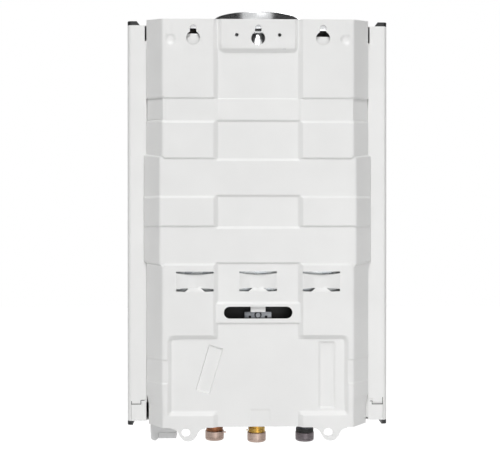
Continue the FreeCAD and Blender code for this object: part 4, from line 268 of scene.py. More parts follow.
LUG_HEIGHT, LUG_ROUND = -430.6, 9.6  # the middle and the radius of a lug's round end
LUG_ROOT, LUG_FLARE = 18.47, 9.0  # half a lug's width at the plate, its flare's radius
FOLD = 0.7  # a fold is round within this distance of its line


def rounding():
    """Steps that crowd towards a corner's end, as the points of a round corner do."""
    return [CORNER * math.sin(step / 5 * math.pi / 2) for step in range(1, 5)]


def shape_lines(axis, size):
    """Lines at the edges of the two upright rectangles and across the dimples, along one axis."""
    lines = set()
    for shape in (UPRIGHT, PAD):
        half = shape[size] / 2
        lines |= {shape[axis] + side * (half - step) for side in (-1, 1) for step in (0, 1)}
    for dimple in DIMPLES:
        lines |= {dimple["xz".index(axis)] + step * DIMPLE_ROUND / 4 for step in range(-4, 5)}
    return lines


def lines_across():
    """Every x where a fold or an opening starts, with a line on both sides of each fold."""
    folds = [COLUMN, COLUMN + BAND / EASE, COLUMN + DEEP / EASE, PANEL, PANEL + DEEP, FIELD, FIELD + DEEP,
             DIP_EDGE - 1, DIP_EDGE]
    lines = {0.0}
    for fold in folds:
        lines |= {side * (fold + step) for side in (-1, 1) for step in (-FOLD, 0, FOLD)}
    for round_off in rounding():
        lines |= {side * (edge + round_off) for side in (-1, 1) for edge in (FIELD - CORNER, PANEL - 1.5)}
    lines |= shape_lines("x", "wide") | {SLANTED["x"] - 17.4, SLANTED["x"] - 22}
    for lug in LUGS:
        lines |= {lug + step * LUG_ROOT for step in (-1, -0.5, 0, 0.5, 1)}
    for louvre in LOUVRES:
        lines |= {louvre + LOUVRE_HALF * math.sin(step / 8 * math.pi / 2) for step in range(-8, 9)}
    return [x for x in lines if abs(x) < PLATE["half"] - 2]


def lines_down():
    """Every z where a fold or an opening starts, with a line on both sides of each fold."""
    folds = {PANEL_FOOT, PANEL_FOOT - DEEP, FIELD_ROW[0], FIELD_ROW[0] - DEEP, FIELD_ROW[1],
             FIELD_ROW[1] + DEEP, FOOT, FOOT + 2, DIP_ROW[0], DIP_ROW[0] - 1, DIP_ROW[1], DIP_ROW[1] + 1,
             WIDE_ROW[1] + 1, WIDE_ROW[0] - 1}
    for low, high in BAND_ROWS:
        folds |= {low, low - BAND, high, high + BAND / 2}
    for low, high in DEEP_ROWS[1:]:
        folds |= {low, low - BAND, low - DEEP, high, high + BAND / 2, high + DEEP / 2}
    lines = set(SLITS) | STRIP_LINES
    for fold in folds:
        lines |= {fold + step for step in (-FOLD, 0, FOLD)}
    for round_off in rounding():
        lines |= {FIELD_ROW[1] - CORNER + round_off, PANEL_FOOT + 1.5 - round_off}
    lines |= shape_lines("z", "tall") | {SLANTED["z"] + step * 8 for step in range(-4, 5)}
    return [z for z in lines if PLATE["foot"] + 0.4 < z < PLATE["top"] - 0.4]


def spaced(lines, least=0.3):
    """The lines in order, without near twins, which would leave slivers."""
    kept = []
    for line in sorted(lines):
        if not kept or line - kept[-1] > least:
            kept.append(line)
    return kept


SOFT = 1.8  # room for the soft fold to the slanted band
FACE_EDGE = PLATE["half"] - SOFT
plate = sheet_of("plate", (-FACE_EDGE, PLATE["foot"]), (FACE_EDGE, PLATE["top"]))
edit(plate)
for x in spaced(lines_across()):
    bpy.ops.mesh.select_all(action="SELECT")
    cut(x, 0, 0, (1, 0, 0))
for z in spaced(lines_down()):
    bpy.ops.mesh.select_all(action="SELECT")
    cut(0, 0, z, (0, 0, 1))
clear()
print("plate cut into", len(plate.data.polygons), "fields")

# %% [markdown]
# ## The back plate, step 2: lines for the slanted rectangle
# Grid lines can't follow a turned rectangle, so its own fold lines are cut as well, only through
# the fields round it.

# %% Cut the slanted rectangle's lines
def turned(p, shape):
    """A place seen from a rectangle's middle, along and up the rectangle."""
    angle = math.radians(shape["turn"])
    x, z = p.x - shape["x"], p.z - shape["z"]
    return x * math.cos(angle) - z * math.sin(angle), x * math.sin(angle) + z * math.cos(angle)


def near_slant(p):
    """True in the slanted rectangle and a few millimetres round it."""
    along, up = turned(p, SLANTED)
    return abs(along) < SLANTED["wide"] / 2 + 6 and abs(up) < SLANTED["tall"] / 2 + 6


for quarter, half in ((0, SLANTED["wide"] / 2), (90, SLANTED["tall"] / 2)):
    angle = math.radians(SLANTED["turn"] + quarter)
    normal = (math.cos(angle), 0, -math.sin(angle))
    for reach in (-half, 1 - half, half - 1, half):
        pick_faces(plate, near_slant)
        cut(SLANTED["x"] + normal[0] * reach, 0, SLANTED["z"] + normal[2] * reach, normal)
clear()
print("plate now has", len(plate.data.polygons), "fields")

# %% [markdown]
# ## The back plate, step 3: pressing the levels
# Each hollow is a floor with sloping walls, so the sheet's level at a place is the floor's depth
# plus a share of the distance to the floor: all of it for most walls, more for those that face
# down and less for the column's. The deepest hollow wins, and the raised panel wins over that. A
# point takes the mean level within the fold's radius, which is what rounds the folds.

# %% Press the levels
def away(x, z, across, rows, corner=0.0):
    """Distance from a place to a rectangle, in millimetres; 0 inside, doubled above it.

    With round corners it is the true distance on all sides.
    """
    dx = max(across[0] + corner - x, x - across[1] + corner, 0.0)
    dz = max(rows[0] + corner - z, z - rows[1] + corner, 0.0)
    if corner:
        return max(0.0, math.hypot(dx, dz) - corner)
    return max(dx, dz * 2 if z > rows[1] else dz)


def sunk(x, z, shape):
    """How far inside a small embossed rectangle a place lies, up to its depth of 1."""
    along, up = turned(mathutils.Vector((x, 0, z)), shape)
    half, tall = shape["wide"] / 2 - 1, shape["tall"] / 2 - 1
    return max(0.0, 1 - away(along, up, (-half, half), (-tall, tall)))


def exact_level(x, z):
    """The sheet's level before its folds are rounded, in millimetres."""
    level = 0.0
    for row in BAND_ROWS:
        level = min(level, away(x, z, (-200, 200), row) - BAND)
    half = COLUMN * EASE
    level = min(level, away(x * EASE, z, (-half - BAND, half + BAND), (-500, 100)) - BAND)
    for row in DEEP_ROWS:
        level = min(level, away(x * EASE, z, (-half, half), row) - DEEP)
    level = min(level, away(x, z, (-FIELD, FIELD), FIELD_ROW, 0.0 if z < -380 else 4.0) - DEEP)
    level = max(level, -away(x, z, (-PANEL, PANEL), (PANEL_FOOT, 100), 4.0))
    for side in (-1, 1):
        level = min(level, away(x * side, z, (DIP_EDGE, 200), DIP_ROW) - 1)
    level -= 1.6 * sunk(x, z, UPRIGHT) + 0.6 * sunk(x, z, PAD)
    for dx, dz in DIMPLES:
        level -= 1.9 * max(0.0, 1 - (math.hypot(x - dx, z - dz) / DIMPLE_ROUND) ** 4)
    return level


def eased_level(x, z):
    """The level with round folds: the mean of nine places within the fold's reach."""
    steps = (-FOLD * 0.8, 0.0, FOLD * 0.8)
    return sum(exact_level(x + dx, z + dz) for dx in steps for dz in steps) / 9


for point in plate.data.vertices:
    x, z = point.co.x / MM, point.co.z / MM
    point.co.y = eased_level(x, z) * MM
    if near_slant(mathutils.Vector((x, 0, z))):
        point.co.y -= 1.7 * sunk(x, z, SLANTED) * MM
print("levels pressed; lowest", round(min(v.co.y for v in plate.data.vertices) / MM, 2), "mm")

# %% [markdown]
# ## The back plate, step 4: outline, side bands and walls
# Down both sides the plate turns through a slanted band into a short wall. Pulling the outer
# edge out in small steps makes both, with a soft fold between them. Before that the outline is
# shaped: the die steps it out beside the louvres, and in at the first ridge and at the foot.

# %% Shape the outline
SLANT_WIDE, SLANT_DEEP = 19.7, 22  # the slanted band's reach outwards and inwards
WALL = 16  # how far the short wall goes on behind it
# Where the outline steps: height, reach, rise at the fold and further rise over the band.
STEP_ENDS = [(-131.0, 2.5, 1.0, 4.0), (-246.8, 2.5, -2.0, 2.9), (-65.4, 2.2, 0.8, 1.7),
             (-90.9, 2.2, 0.3, 2.0)]


def exact_outline(z):
    """How far the outline stands out at a height, in millimetres."""
    out = max(0.0, 3.0 - 3.0 * away(0, z, (-1, 1), WIDE_ROW))
    return out - max(0.0, 1.3 - away(0, z, (-1, 1), BAND_ROWS[0]))


for point in plate.data.vertices:
    z = point.co.z / MM
    if abs(point.co.x / MM) > FACE_EDGE - 0.1:
        out = sum(exact_outline(z + step) for step in (-0.6, 0.0, 0.6)) / 3
        point.co.x += math.copysign(out, point.co.x) * MM


def band_steps():
    """Steps from the plate's edge round the soft fold, over the band and round into the wall."""
    lean = math.atan2(SLANT_DEEP, SLANT_WIDE)
    steps = []
    for share in range(1, 6):
        turn = lean * (share - 0.5) / 5
        steps.append((0.78 * math.cos(turn), -0.78 * math.sin(turn)))
    gone = [sum(step[i] for step in steps) for i in (0, 1)]
    steps.append((SLANT_WIDE + SOFT - gone[0] - 0.9, -SLANT_DEEP - gone[1] + 1.2))
    for share in (0.3, 0.75):
        turn = lean + (math.pi / 2 - lean) * share
        steps.append((1.0 * math.cos(turn), -1.0 * math.sin(turn)))
    return steps


def on_outline(p, way, side):
    """True for an edge that runs down the plate's outline on one side."""
    off = p.x * side - FACE_EDGE - exact_outline(p.z)
    upright = abs(way.z) > 0.05 and abs(way.x) < 3.2 and abs(way.x) < abs(way.z) * 2.5
    return p.x * side > FACE_EDGE - 2.8 and abs(off) < 1.6 and upright


for side in (-1, 1):
    pick_edges(plate, lambda p, way: on_outline(p, way, side))
    for across, down in band_steps():
        extrude(side * across, 0, 0)
        bpy.ops.transform.translate(value=(0, down * MM, 0))
    extrude(0, -WALL, 0)
    stretch((1, 0, 1), (0, -40, 0))  # brings the wall's rim to one depth
clear()


def slant_ends(point):
    """Slants the outline's steps, raises the top corner and narrows the band at the foot."""
    x, y, z = point.co / MM
    share = min(1.0, max(0.0, (abs(x) - FACE_EDGE - 0.3) / SLANT_WIDE))
    if z > PLATE["top"] - 0.1:
        z += min(1.0, -y / SLANT_DEEP) * 3.0
    for height, reach, rise, further in STEP_ENDS:
        if share and abs(z - height) < reach:
            z += rise + further * share
            break
    if z < FOOT + 2 and share:
        x -= math.copysign(2.6 * share * min(1.0, (FOOT + 2 - z) / 6), x)
    point.co = (x * MM, y * MM, z * MM)


for point in plate.data.vertices:
    slant_ends(point)
print("plate is", [round(d / MM, 1) for d in plate.dimensions], "mm")

# %% [markdown]
# ## The back plate, step 5: lips and wall lugs
# A short lip at the top and a longer one at the bottom close the case. The two wall lugs stay in
# the sheet's own plane: each grows out of the bottom edge in small steps, and every step is
# scaled to the width of the lug there, first a hollow flare and then a round end.

# %% Grow the lugs and fold the lips
TOP_LIP, FOOT_LIP = 12, 30  # the lips' depths
TOP_CUT, FOOT_CUT = (17.9, 23), (-421.9, 30)  # where the walls end: a height and a depth
FLARE_HEIGHT = -435.3  # the middle of a lug's hollow flare


def lip(rim, depth, skip=()):
    """Pulls the plate's top or bottom edge inwards to one depth, leaving out the lugs."""
    pick_all(plate)
    cut(0, -depth, 0, (0, 1, 0))
    pick_edges(plate, lambda p, way: abs(p.z - rim) < 2 and abs(way.z) < 0.8 and p.y > -depth
               and not any(abs(p.x - x) < LUG_ROOT for x in skip))
    extrude(0, -depth, 0)
    stretch((1, 0, 1), (0, -depth, 0))
    clear()


def cut_back(z, depth, way):
    """Shortens the side walls beyond a height, where they are deeper than the lip, for the panels."""
    for place in ((0, 0, z, (0, 0, 1)), (0, -depth, 0, (0, 1, 0))):
        pick_faces(plate, lambda p: p.y < -8 and (p.z - z) * way > -12)
        cut(*place)
    pick_faces(plate, lambda p: p.y < -depth and (p.z - z) * way > 0)
    bpy.ops.mesh.delete(type="FACE")
    clear()


def lug_steps():
    """The height and half width of a lug below its root, in millimetres."""
    steps = [(-426.3, LUG_ROOT)]
    for turn in (112, 134, 154, 170):
        angle = math.radians(turn)
        steps.append((FLARE_HEIGHT + LUG_FLARE * math.sin(angle), LUG_ROOT + LUG_FLARE * math.cos(angle)))
    for turn in (-32, -46, -58, -69, -79, -87):
        angle = math.radians(turn)
        steps.append((LUG_HEIGHT + LUG_ROUND * math.sin(angle), LUG_ROUND * math.cos(angle)))
    return steps


for lug in LUGS:
    height, half = PLATE["foot"], LUG_ROOT
    pick_edges(plate, lambda p, way: abs(p.z - height) < 0.05 and abs(way.z) < 0.05
               and abs(p.x - lug) < half)
    for z, wide in lug_steps():
        extrude(0, 0, z - height)
        stretch((wide / half, 1, 1), (lug, 0, 0))
        height, half = z, wide
cut_back(*TOP_CUT, 1)
cut_back(*FOOT_CUT, -1)
lip(PLATE["top"], TOP_LIP)
lip(PLATE["foot"], FOOT_LIP, skip=LUGS)
print("lugs reach", round(min(v.co.z for v in plate.data.vertices) / MM, 1), "mm")

# %% [markdown]
# ## The back plate, step 6: louvres
# Each louvre is a strip between two slits that bows away from the wall, so that air gets in
# behind it. Its points go in by a parabola. The strip's edges arch towards each other, and below
# it the middle of the lower slit stays closed by a small sloping web, open at both ends.

# %% Bow the louvre strips
def bow(x, louvre):
    """How far along the bow a point is: 0 at the strip's ends and 1 in its middle."""
    return max(0.0, 1 - ((x - louvre) / LOUVRE_HALF) ** 2)


def shape_louvre(louvre):
    """Bows one strip inwards and arches its two edges, in millimetres."""
    for point in plate.data.vertices:
        x, z = point.co.x / MM, point.co.z / MM
        if abs(x - louvre) < LOUVRE_HALF and SLITS[2] - 0.05 <= z <= SLITS[1] + 0.05:
            rise = bow(x, louvre)
            point.co.y -= 4.0 * rise * MM
            if abs(z - SLITS[1]) < 0.05:
                point.co.z -= 1.7 * rise * MM
            elif abs(z - SLITS[2]) < 0.05:
                point.co.z += 1.0 * rise * MM
                if abs(abs(x - louvre) - 7.85) < 0.1:
                    point.co.x = (louvre + math.copysign(5.9, x - louvre)) * MM
        elif abs(x - louvre) < LOUVRE_HALF and abs(z - SLITS[3]) < 0.05:
            point.co.z -= 0.7 * bow(x, louvre) * MM
            if 7.7 < abs(x - louvre) < 11.3:
                reach = 11.0 + (abs(x - louvre) - 7.7) * 0.1
                point.co.x = (louvre + math.copysign(reach, x - louvre)) * MM


def slit_face(p, louvre):
    """True for a face that the press cuts away."""
    inside = abs(p.x - louvre) < LOUVRE_HALF
    upper = SLITS[1] - 1.8 < p.z < SLITS[0] and p.z > SLITS[1] - 0.9 * bow(p.x, louvre)
    lower = SLITS[3] - 1 < p.z < SLITS[2] + 0.5 and abs(p.x - louvre) > 8
    return inside and (upper or lower)


clear()
for louvre in LOUVRES:
    shape_louvre(louvre)
    found = pick_faces(plate, lambda p: slit_face(p, louvre))
    bpy.ops.mesh.delete(type="FACE")
    clear()
    print("louvre at", louvre, "opened", found, "fields")

# %% [markdown]
# ## The back plate, step 7: thickness and holes
# The surface gets the sheet's 0.8 mm behind it. Only then are the keyholes, the long slot, the
# rivet holes and the lugs' oval holes punched, so that their edges show the sheet's thickness.

# %% Give the sheet its thickness
outward(plate)
modify(plate, "SOLIDIFY", thickness=SHEET * MM, offset=-1, use_quality_normals=True)
print("sheet has", len(plate.data.polygons), "faces")

# %% Punch the holes
ENTRY, SLOT_HALF, SLOT_TOP = 7.6, 3.55, 11.05  # a keyhole's radius, its slot's half width and height


def oval(name, x, z, long, tall, low, high):
    """A cutter with round ends that runs along X."""
    straight = (long - tall) / 2
    middle = block(name, (x - straight, low, z - tall / 2), (x + straight, high, z + tall / 2))
    ends = [drum(name, "y", (x + side * straight, (low + high) / 2, z), high - low, tall / 2)
            for side in (-1, 1)]
    carve(middle, ends, "UNION")
    return middle


def keyhole(x):
    """A round entry with a narrower slot above it that ends round."""
    entry = drum("keyhole", "y", (x, -3, 0), 8, ENTRY, 64)
    slot = block("keyhole", (x - SLOT_HALF, -7, 0), (x + SLOT_HALF, 1, SLOT_TOP))
    end = drum("keyhole", "y", (x, -3, SLOT_TOP), 8, SLOT_HALF, 32)
    carve(entry, [slot, end], "UNION")
    return entry


punches = [keyhole(x) for x in KEYHOLES]
punches.append(oval("slot", 0, -300.0, 75, 13.1, -7, 1))
punches += [drum("rivet_hole", "y", (x, -3, 3.5), 8, 2.0, 24) for x in RIVETS]
punches += [oval("lug_hole", x, LUG_HEIGHT, 9.7, 8.1, -7, 1) for x in LUG_HOLES]
carve(plate, [join("punches", punches)])
print("plate punched;", len(plate.data.polygons), "faces")

# %% Shade and mount the plate
smooth(plate, 40)
modify(plate, "WEIGHTED_NORMAL", keep_sharp=True)
casing = named("back_plate", plate)
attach(casing, "casing")
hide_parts("rear_casing")
print("back plate", [round(d / MM, 1) for d in casing.dimensions])

# %% [markdown]
# ## Turned parts
# Pipe stubs and the flue collar are turned on a lathe or rolled, so they are rings all the way
# up. A circle is extruded ring by ring, and every ring is scaled to its own radius.

# %% Turning
def turned_part(name, centre, profile, sides=64):
    """Extrudes a circle through (height, radius) pairs, in millimetres; the ends stay open."""
    clear()
    height, radius = profile[0]
    bpy.ops.mesh.primitive_circle_add(vertices=sides, radius=radius * MM,
                                      location=(centre[0] * MM, centre[1] * MM, height * MM))
    piece = bpy.context.object
    settle(piece)
    pick_all(piece)
    for level, reach in profile[1:]:
        extrude(0, 0, level - height)
        stretch((reach / radius, reach / radius, 1), (*centre, 0))
        height, radius = level, reach
    return named(name, piece)


# Some finishes are looks of their own that share a slot of the record.
dressed = [(casing, "white_coat")]


def mount(piece, slot, *nodes, body="casing"):
    """Shades a finished piece and hands it to the frame, with the solids that it stands in for."""
    outward(piece)
    smooth(piece, 30)
    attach(piece, body)
    if nodes:
        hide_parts(*nodes)
    dressed.append((piece, slot))


# %% [markdown]
# ## The three pipe stubs
# Each stub is a half-inch male thread: crests 1.8 mm apart, a plain neck above it and a rounded
# end ring below, with a hollow bore. The gas stub's neck carries a black band.

# %% Pipe stubs
# Each stub's x, foot and top of its end ring.
STUBS = {"hot": (48.6, -451.9, -441.4), "cold": (0.0, -454.0, -443.2), "gas": (-55.7, -453.4, -443.4)}
STUB_DEPTH = -60  # the stubs' axes lie this far inside the plate


def thread(low, high, root, crest, pitch=1.814):
    """(height, radius) pairs of a thread's roots and crests, from low to high."""
    pairs, height = [], low
    while height + pitch <= high:
        pairs += [(height + 0.1, root), (height + 0.8, crest), (height + 1.1, crest),
                  (height + 1.75, root)]
        height += pitch
    return pairs


def pipe_stub(name, neck_top, top, slot, node):
    """One stub: thread and plain neck outside, and the bore inside."""
    x, foot, ring_top = STUBS[name]
    profile = [(foot + 14, 7.4), (foot + 1.0, 7.4), (foot + 0.4, 8.0), (foot + 0.4, 9.3), (ring_top, 9.4)]
    profile += thread(ring_top + 0.1, neck_top, 9.1, 9.75)
    profile += [(neck_top + 0.4, 9.4), (top, 9.4)]
    stub = turned_part(f"{name}_stub", (x, STUB_DEPTH), profile)
    pick_open_edges(stub)
    bpy.ops.mesh.edge_face_add()
    clear()
    mount(stub, slot, node)


def end_ring(name, finish):
    """The rounded ring round a stub's end, with one groove."""
    x, foot, top = STUBS[name]
    ring = turned_part(f"{name}_ring", (x, STUB_DEPTH), [
        (foot + 0.5, 8.3), (foot, 8.6), (foot, 9.3), (foot + 0.4, 10.1), (foot + 1.2, 10.6),
        (foot + 2.8, 10.75), (foot + 3.1, 10.55), (foot + 3.6, 10.55), (foot + 3.9, 10.75),
        (top - 0.6, 10.75), (top, 10.3), (top, 9.0)])
    mount(ring, finish)


pipe_stub("hot", -428.0, -412, "dark_brass", "hot_water_fitting")
pipe_stub("cold", -428.0, -410, "brass", "cold_water_fitting")
end_ring("hot", "nickel")
end_ring("cold", "nickel")
end_ring("gas", "grey_steel")
pipe_stub("gas", -436.0, -410, "dark_steel", "gas_fitting")
band = turned_part("gas_stub_band", (STUBS["gas"][0], STUB_DEPTH), [
    (-443.4, 9.6), (-443.4, 9.9), (-443.0, 10.15), (-439.4, 10.15), (-439.0, 9.9), (-439.0, 9.6)])
mount(band, "rubber")


def stub_nub(name, x, z, reach, slot):
    """The small burr of thread tape that stands off beside a stub."""
    nub = drum(name, "x", (x + reach * 0.5, -58, z), abs(reach), 0.9, 16, 0.35)
    modify(nub, "BEVEL", width=0.2 * MM, segments=2)
    mount(nub, slot)


stub_nub("hot_stub_nub", 38.3, -443.3, -2.6, "dark_brass")
stub_nub("cold_stub_nub", 10.1, -441.0, 2.2, "brass")
print("stubs", sorted(STUBS))

# %% [markdown]
# ## The flue collar
# The collar is a short spigot of polished stainless sheet. Its rim is rolled outwards, and a
# bead stands a little below it, so a flue pipe stops there.

# %% Flue collar
collar = turned_part("flue_spigot", (0, -72), [
    (12, 49.4), (33.2, 49.4), (33.7, 49.5), (34.0, 49.9), (34.0, 50.4), (33.7, 50.8), (33.2, 51.0),
    (32.4, 50.9), (28.0, 50.4), (24.8, 50.3), (24.2, 50.6), (23.4, 51.0), (22.4, 51.0), (21.6, 50.6),
    (21.0, 50.3), (12, 50.3)], 96)
pick_open_edges(collar)
bpy.ops.mesh.bridge_edge_loops()
clear()
mount(collar, "polished", "flue_collar")

# %% [markdown]
# ## Behind the keyholes
# A screw head that enters an outer keyhole meets a white pad, and above a dark gap a bright strip
# of steel closes the slot. Behind the middle keyhole stands a bright cone with its own strip.

# %% Pads, strips and cone
def soft_block(name, low, high, round_off=0.3):
    """A block with rounded edges."""
    piece = block(name, low, high)
    modify(piece, "BEVEL", width=round_off * MM, segments=3, limit_method="NONE")
    return piece


def behind_keyhole(name, x, pad_top, strip_foot):
    """The pad and the strip behind one outer keyhole."""
    pad = soft_block("hanger_pad_" + name, (x - 10, -4.6, -11), (x + 10, -3.7, pad_top))
    strip = soft_block("hanger_strip_" + name, (x - 7, -1.9, strip_foot), (x + 7, -1.0, 17.2))
    mount(pad, "white_coat")
    mount(strip, "polished")


behind_keyhole("left", KEYHOLES[0], 5.3, 10.4)
behind_keyhole("right", KEYHOLES[2], 2.4, 8.2)
cone = drum("keyhole_cone", "z", (0, -15.9, -2.6), 17.6, 15.0, 96, 9.5)
modify(cone, "BEVEL", width=0.5 * MM, segments=3)
mount(cone, "polished")
mount(soft_block("keyhole_strip", (-7, -1.9, 10.6), (7, -1.0, 17.2)), "steel")

# %% [markdown]
# ## Behind the long slot
# A tongue of the plate hangs down into the slot. Below it a dark bracket with two notches and a
# screw hold the burner, and a black pad behind them is painted shade that keeps the inside dark.

# %% Tongue, bracket and pad
mount(soft_block("slot_tongue", (-8.2, -5.6, -299.6), (8.2, -4.9, -291.0), 0.25), "white_coat")
bracket = soft_block("burner_bracket", (-15.0, -9.6, -309.5), (15.0, -8.0, -299.6), 0.35)
shelf = soft_block("shelf", (-15.0, -19.5, -301.2), (15.0, -8.4, -299.7), 0.35)
carve(bracket, [shelf], "UNION")
notches = [drum("notch", "y", (x, -9, -305.2), 8, 1.5, 24) for x in (-8.9, 8.9)]
carve(bracket, notches + [drum("notch", "y", (0, -9, -302.9), 8, 4.0, 32)])
mount(bracket, "dark_steel", "slot_bracket")
# A black sheet behind the slot: painted shade that darkens the inside.
mount(soft_block("painted_shade_pad", (-46, -24.5, -330), (46, -22.5, -293.5), 0.8), "rubber")

# %% [markdown]
# ## Seal strips
# White foam closes the gap between the cover's rear flanges and the casing, all but a short
# stretch at the top, where a dark slit stays open.

# %% Seal strips
for name, side, top, foot in (("left", 1, 1.8, -402.5), ("right", -1, 0.2, -420.5)):
    low, high = sorted((side * 123.6, side * 131.0))
    seal = soft_block("seal_strip_" + name, (low, -28.4, foot), (high, -27.0, top), 0.4)
    mount(seal, "white_coat")
mount(soft_block("seal_strip_foot", (-131.0, -28.6, -420.5), (-121.9, -27.2, -396.5), 0.4), "white_coat")

# %% [markdown]
# ## Seams low on the flanges
# The bottom panel's ears lap the cover's flanges with a stepped seam. The shade in its gap is
# painted as slim dark bars along the steps.

# %% Seams
def seam(name, places):
    """Slim dark bars of painted seam shade from place to place, given as (x, z)."""
    bars = []
    for (x, z), (far_x, far_z) in zip(places, places[1:]):
        low = (min(x, far_x) - 0.3, -26.1, min(z, far_z) - 0.3)
        high = (max(x, far_x) + 0.3, -25.85, max(z, far_z) + 0.3)
        bars.append(soft_block("bar", low, high, 0.08))
    # The bars are painted shade of the seam's gap, in the black rubber finish.
    mount(join(name, bars), "rubber")


seam("seam_left", [(140.8, -401.2), (140.8, -404.4), (130.4, -404.4), (130.4, -400.2), (126.5, -400.2)])
seam("seam_right", [(-140.7, -397.8), (-140.7, -405.4), (-128.9, -405.0), (-128.9, -401.9), (-126.5, -401.9)])

# %% [markdown]
# ## The gas valve's spring
# The spring is a wire ring drawn along a helix by the screw modifier. It shortens when the push
# rod presses the valve disc.

# %% Gas valve spring
WIRE, COIL, TURNS, SPRING_LONG = 0.6, 6.0, 6, 15.4  # the wire's and the coil's radius
clear()
bpy.ops.mesh.primitive_circle_add(vertices=12, radius=WIRE * MM, location=(-0.0705, -0.062, -0.372))
spring = bpy.context.object
pick_all(spring)
bpy.ops.transform.translate(value=(0, -COIL * MM, 0))
modify(spring, "SCREW", axis="X", angle=2 * math.pi * TURNS, screw_offset=SPRING_LONG * MM, steps=144,
       render_steps=144)
settle(spring)
pick_open_edges(spring)
bpy.ops.mesh.edge_face_add()
named("disc_spring", spring)
mount(spring, "steel", "gas_valve_spring")
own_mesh(spring)
print("spring", [round(d / MM, 1) for d in spring.dimensions], "mm")

# %% [markdown]
# ## The front: dial marks and window bezel
# The control strip is printed. Each dial gets a short bar for every step of its knob and plain
# numbers, from one end of the knob's turn to the other, and the dials that can be shut get OFF
# at their first bar. A light patch round the raised pointer of each knob turns with the knob. A
# stadium-shaped bezel frames the flame window.

# %% Dial marks
DIAL_HEIGHT, FACE = -350.0, -149.0  # the knobs' height and the strip's front face
KNOB_FACE = -167.3  # the front face of the knobs
KNOBS = {"gas": -62.0, "water": 0.0, "mode": 62.0}
BAR = 0.9  # the width of a dial's bars


def swing(piece, x, turn):
    """Turns a piece clockwise, as seen from the front, round the knob at x."""
    pick_all(piece)
    bpy.ops.transform.rotate(value=-math.radians(turn), orient_axis="Y",
                             center_override=(x * MM, FACE * MM, DIAL_HEIGHT * MM))
    clear()


def dial_bar(x, turn):
    """One bar of a dial, standing a quarter of a millimetre off the strip."""
    bar = block("bar", (x - BAR / 2, FACE - 0.25, DIAL_HEIGHT + 22.2),
                (x + BAR / 2, FACE, DIAL_HEIGHT + 24.8))
    swing(bar, x, turn)
    return bar


def dial_word(words, x, z, tall):
    """Flat lettering on the strip, given a little thickness and made a mesh."""
    clear()
    bpy.ops.object.text_add(location=(x * MM, FACE * MM, z * MM), rotation=(math.pi / 2, 0, 0))
    text = bpy.context.object
    text.data.body = words
    text.data.size = tall * MM * 1.35
    text.data.extrude = 0.12 * MM
    text.data.align_x, text.data.align_y = "CENTER", "CENTER"
    bpy.ops.object.convert(target="MESH")
    settle(bpy.context.object)
    return named("word")


def dial(knob, end, marks):
    """All the marks of one dial, clockwise between the two ends of its knob's turn."""
    x, pieces = KNOBS[knob], []
    for number, words in enumerate(marks):
        turn = end * (2 * number / (len(marks) - 1) - 1)
        pieces.append(dial_bar(x, turn))
        angle = math.radians(turn)
        reach, tall = (28.3, 3.4) if len(words) == 1 else (29.5, 2.9)
        pieces.append(dial_word(words, x + reach * math.sin(angle), DIAL_HEIGHT + reach * math.cos(angle),
                                tall))
    mount(join(f"{knob}_dial_marks", pieces), "ink")


dial("gas", 135, ["OFF", "1", "2", "3", "4", "5", "6"])
dial("water", 135, ["1", "2", "3", "4", "5", "6", "7"])
dial("mode", 45, ["OFF", "1", "2"])
print("dials marked")

# %% Pointer marks
for knob, x in KNOBS.items():
    patch = oval("patch", x + 11.1, DIAL_HEIGHT, 11.5, 4.4, KNOB_FACE - 0.15, KNOB_FACE)
    swing(patch, x, -90)
    mount(named(f"{knob}_pointer_mark", patch), "ink", body=f"{knob}_control")
print("pointers marked")

# %% Window bezel
bezel = oval("window_bezel", 0, -222.0, 64, 22, -146.2, -145.0)
carve(bezel, [oval("bezel_opening", 0, -222.0, 56, 14, -148, -143)])
modify(bezel, "BEVEL", width=0.4 * MM, segments=3, limit_method="ANGLE", angle_limit=math.radians(40))
mount(bezel, "dark_plastic")

# %% [markdown]
# ## The display's digits
# Two seven-segment digits lie just under the lens's surface, as every heater display shows them.

# %% Display digits
SEGMENTS = {"4": "bcfg", "2": "abdeg"}
DIGIT_HEIGHT = -307
PLACES = {"a": (0, 4, 1), "b": (2, 2, 0), "c": (2, -2, 0), "d": (0, -4, 1), "e": (-2, -2, 0), "f": (-2, 2, 0),
          "g": (0, 0, 1)}


def digit(x, figure):
    """One digit as slim bars, upright or flat."""
    bars = []
    for segment in SEGMENTS[figure]:
        across, up, flat = PLACES[segment]
        half = (1.5, 0.4) if flat else (0.4, 1.5)
        bars.append(block("bar", (x + across - half[0], FACE - 0.1, DIGIT_HEIGHT + up - half[1]),
                          (x + across + half[0], FACE + 0.3, DIGIT_HEIGHT + up + half[1])))
    return bars


shown = join("display_digits", digit(-4.0, "4") + digit(4.0, "2"))
modify(shown, "BEVEL", width=0.12 * MM, segments=2, limit_method="NONE")
mount(shown, "glow")
print("front dressed")

# %% [markdown]
# ## Finishes
# Every finish is built from nodes on Object coordinates, so a pattern keeps its real size on
# every part. One function turns a hex colour into the linear numbers that a shader takes, one
# adds a node with its settings and links, and the rest add what most finishes have: noise, two
# colours to mix, a range of gloss and a bump.

# %% Finish tools
def linear(code):
    """An sRGB hex colour as linear numbers."""
    parts = [int(code[i:i + 2], 16) / 255 for i in (1, 3, 5)]
    return [part / 12.92 if part <= 0.04045 else ((part + 0.055) / 1.055) ** 2.4 for part in parts] + [1.0]


def put(tree, kind, feeds=None, **settings):
    """Adds a shader node. feeds gives its inputs a value or an output; settings are its properties."""
    new = tree.nodes.new("ShaderNode" + kind)
    for key, value in settings.items():
        setattr(new, key, value)
    for socket, value in (feeds or {}).items():
        if isinstance(value, bpy.types.NodeSocket):
            tree.links.new(value, new.inputs[socket])
        else:
            new.inputs[socket].default_value = value
    return new


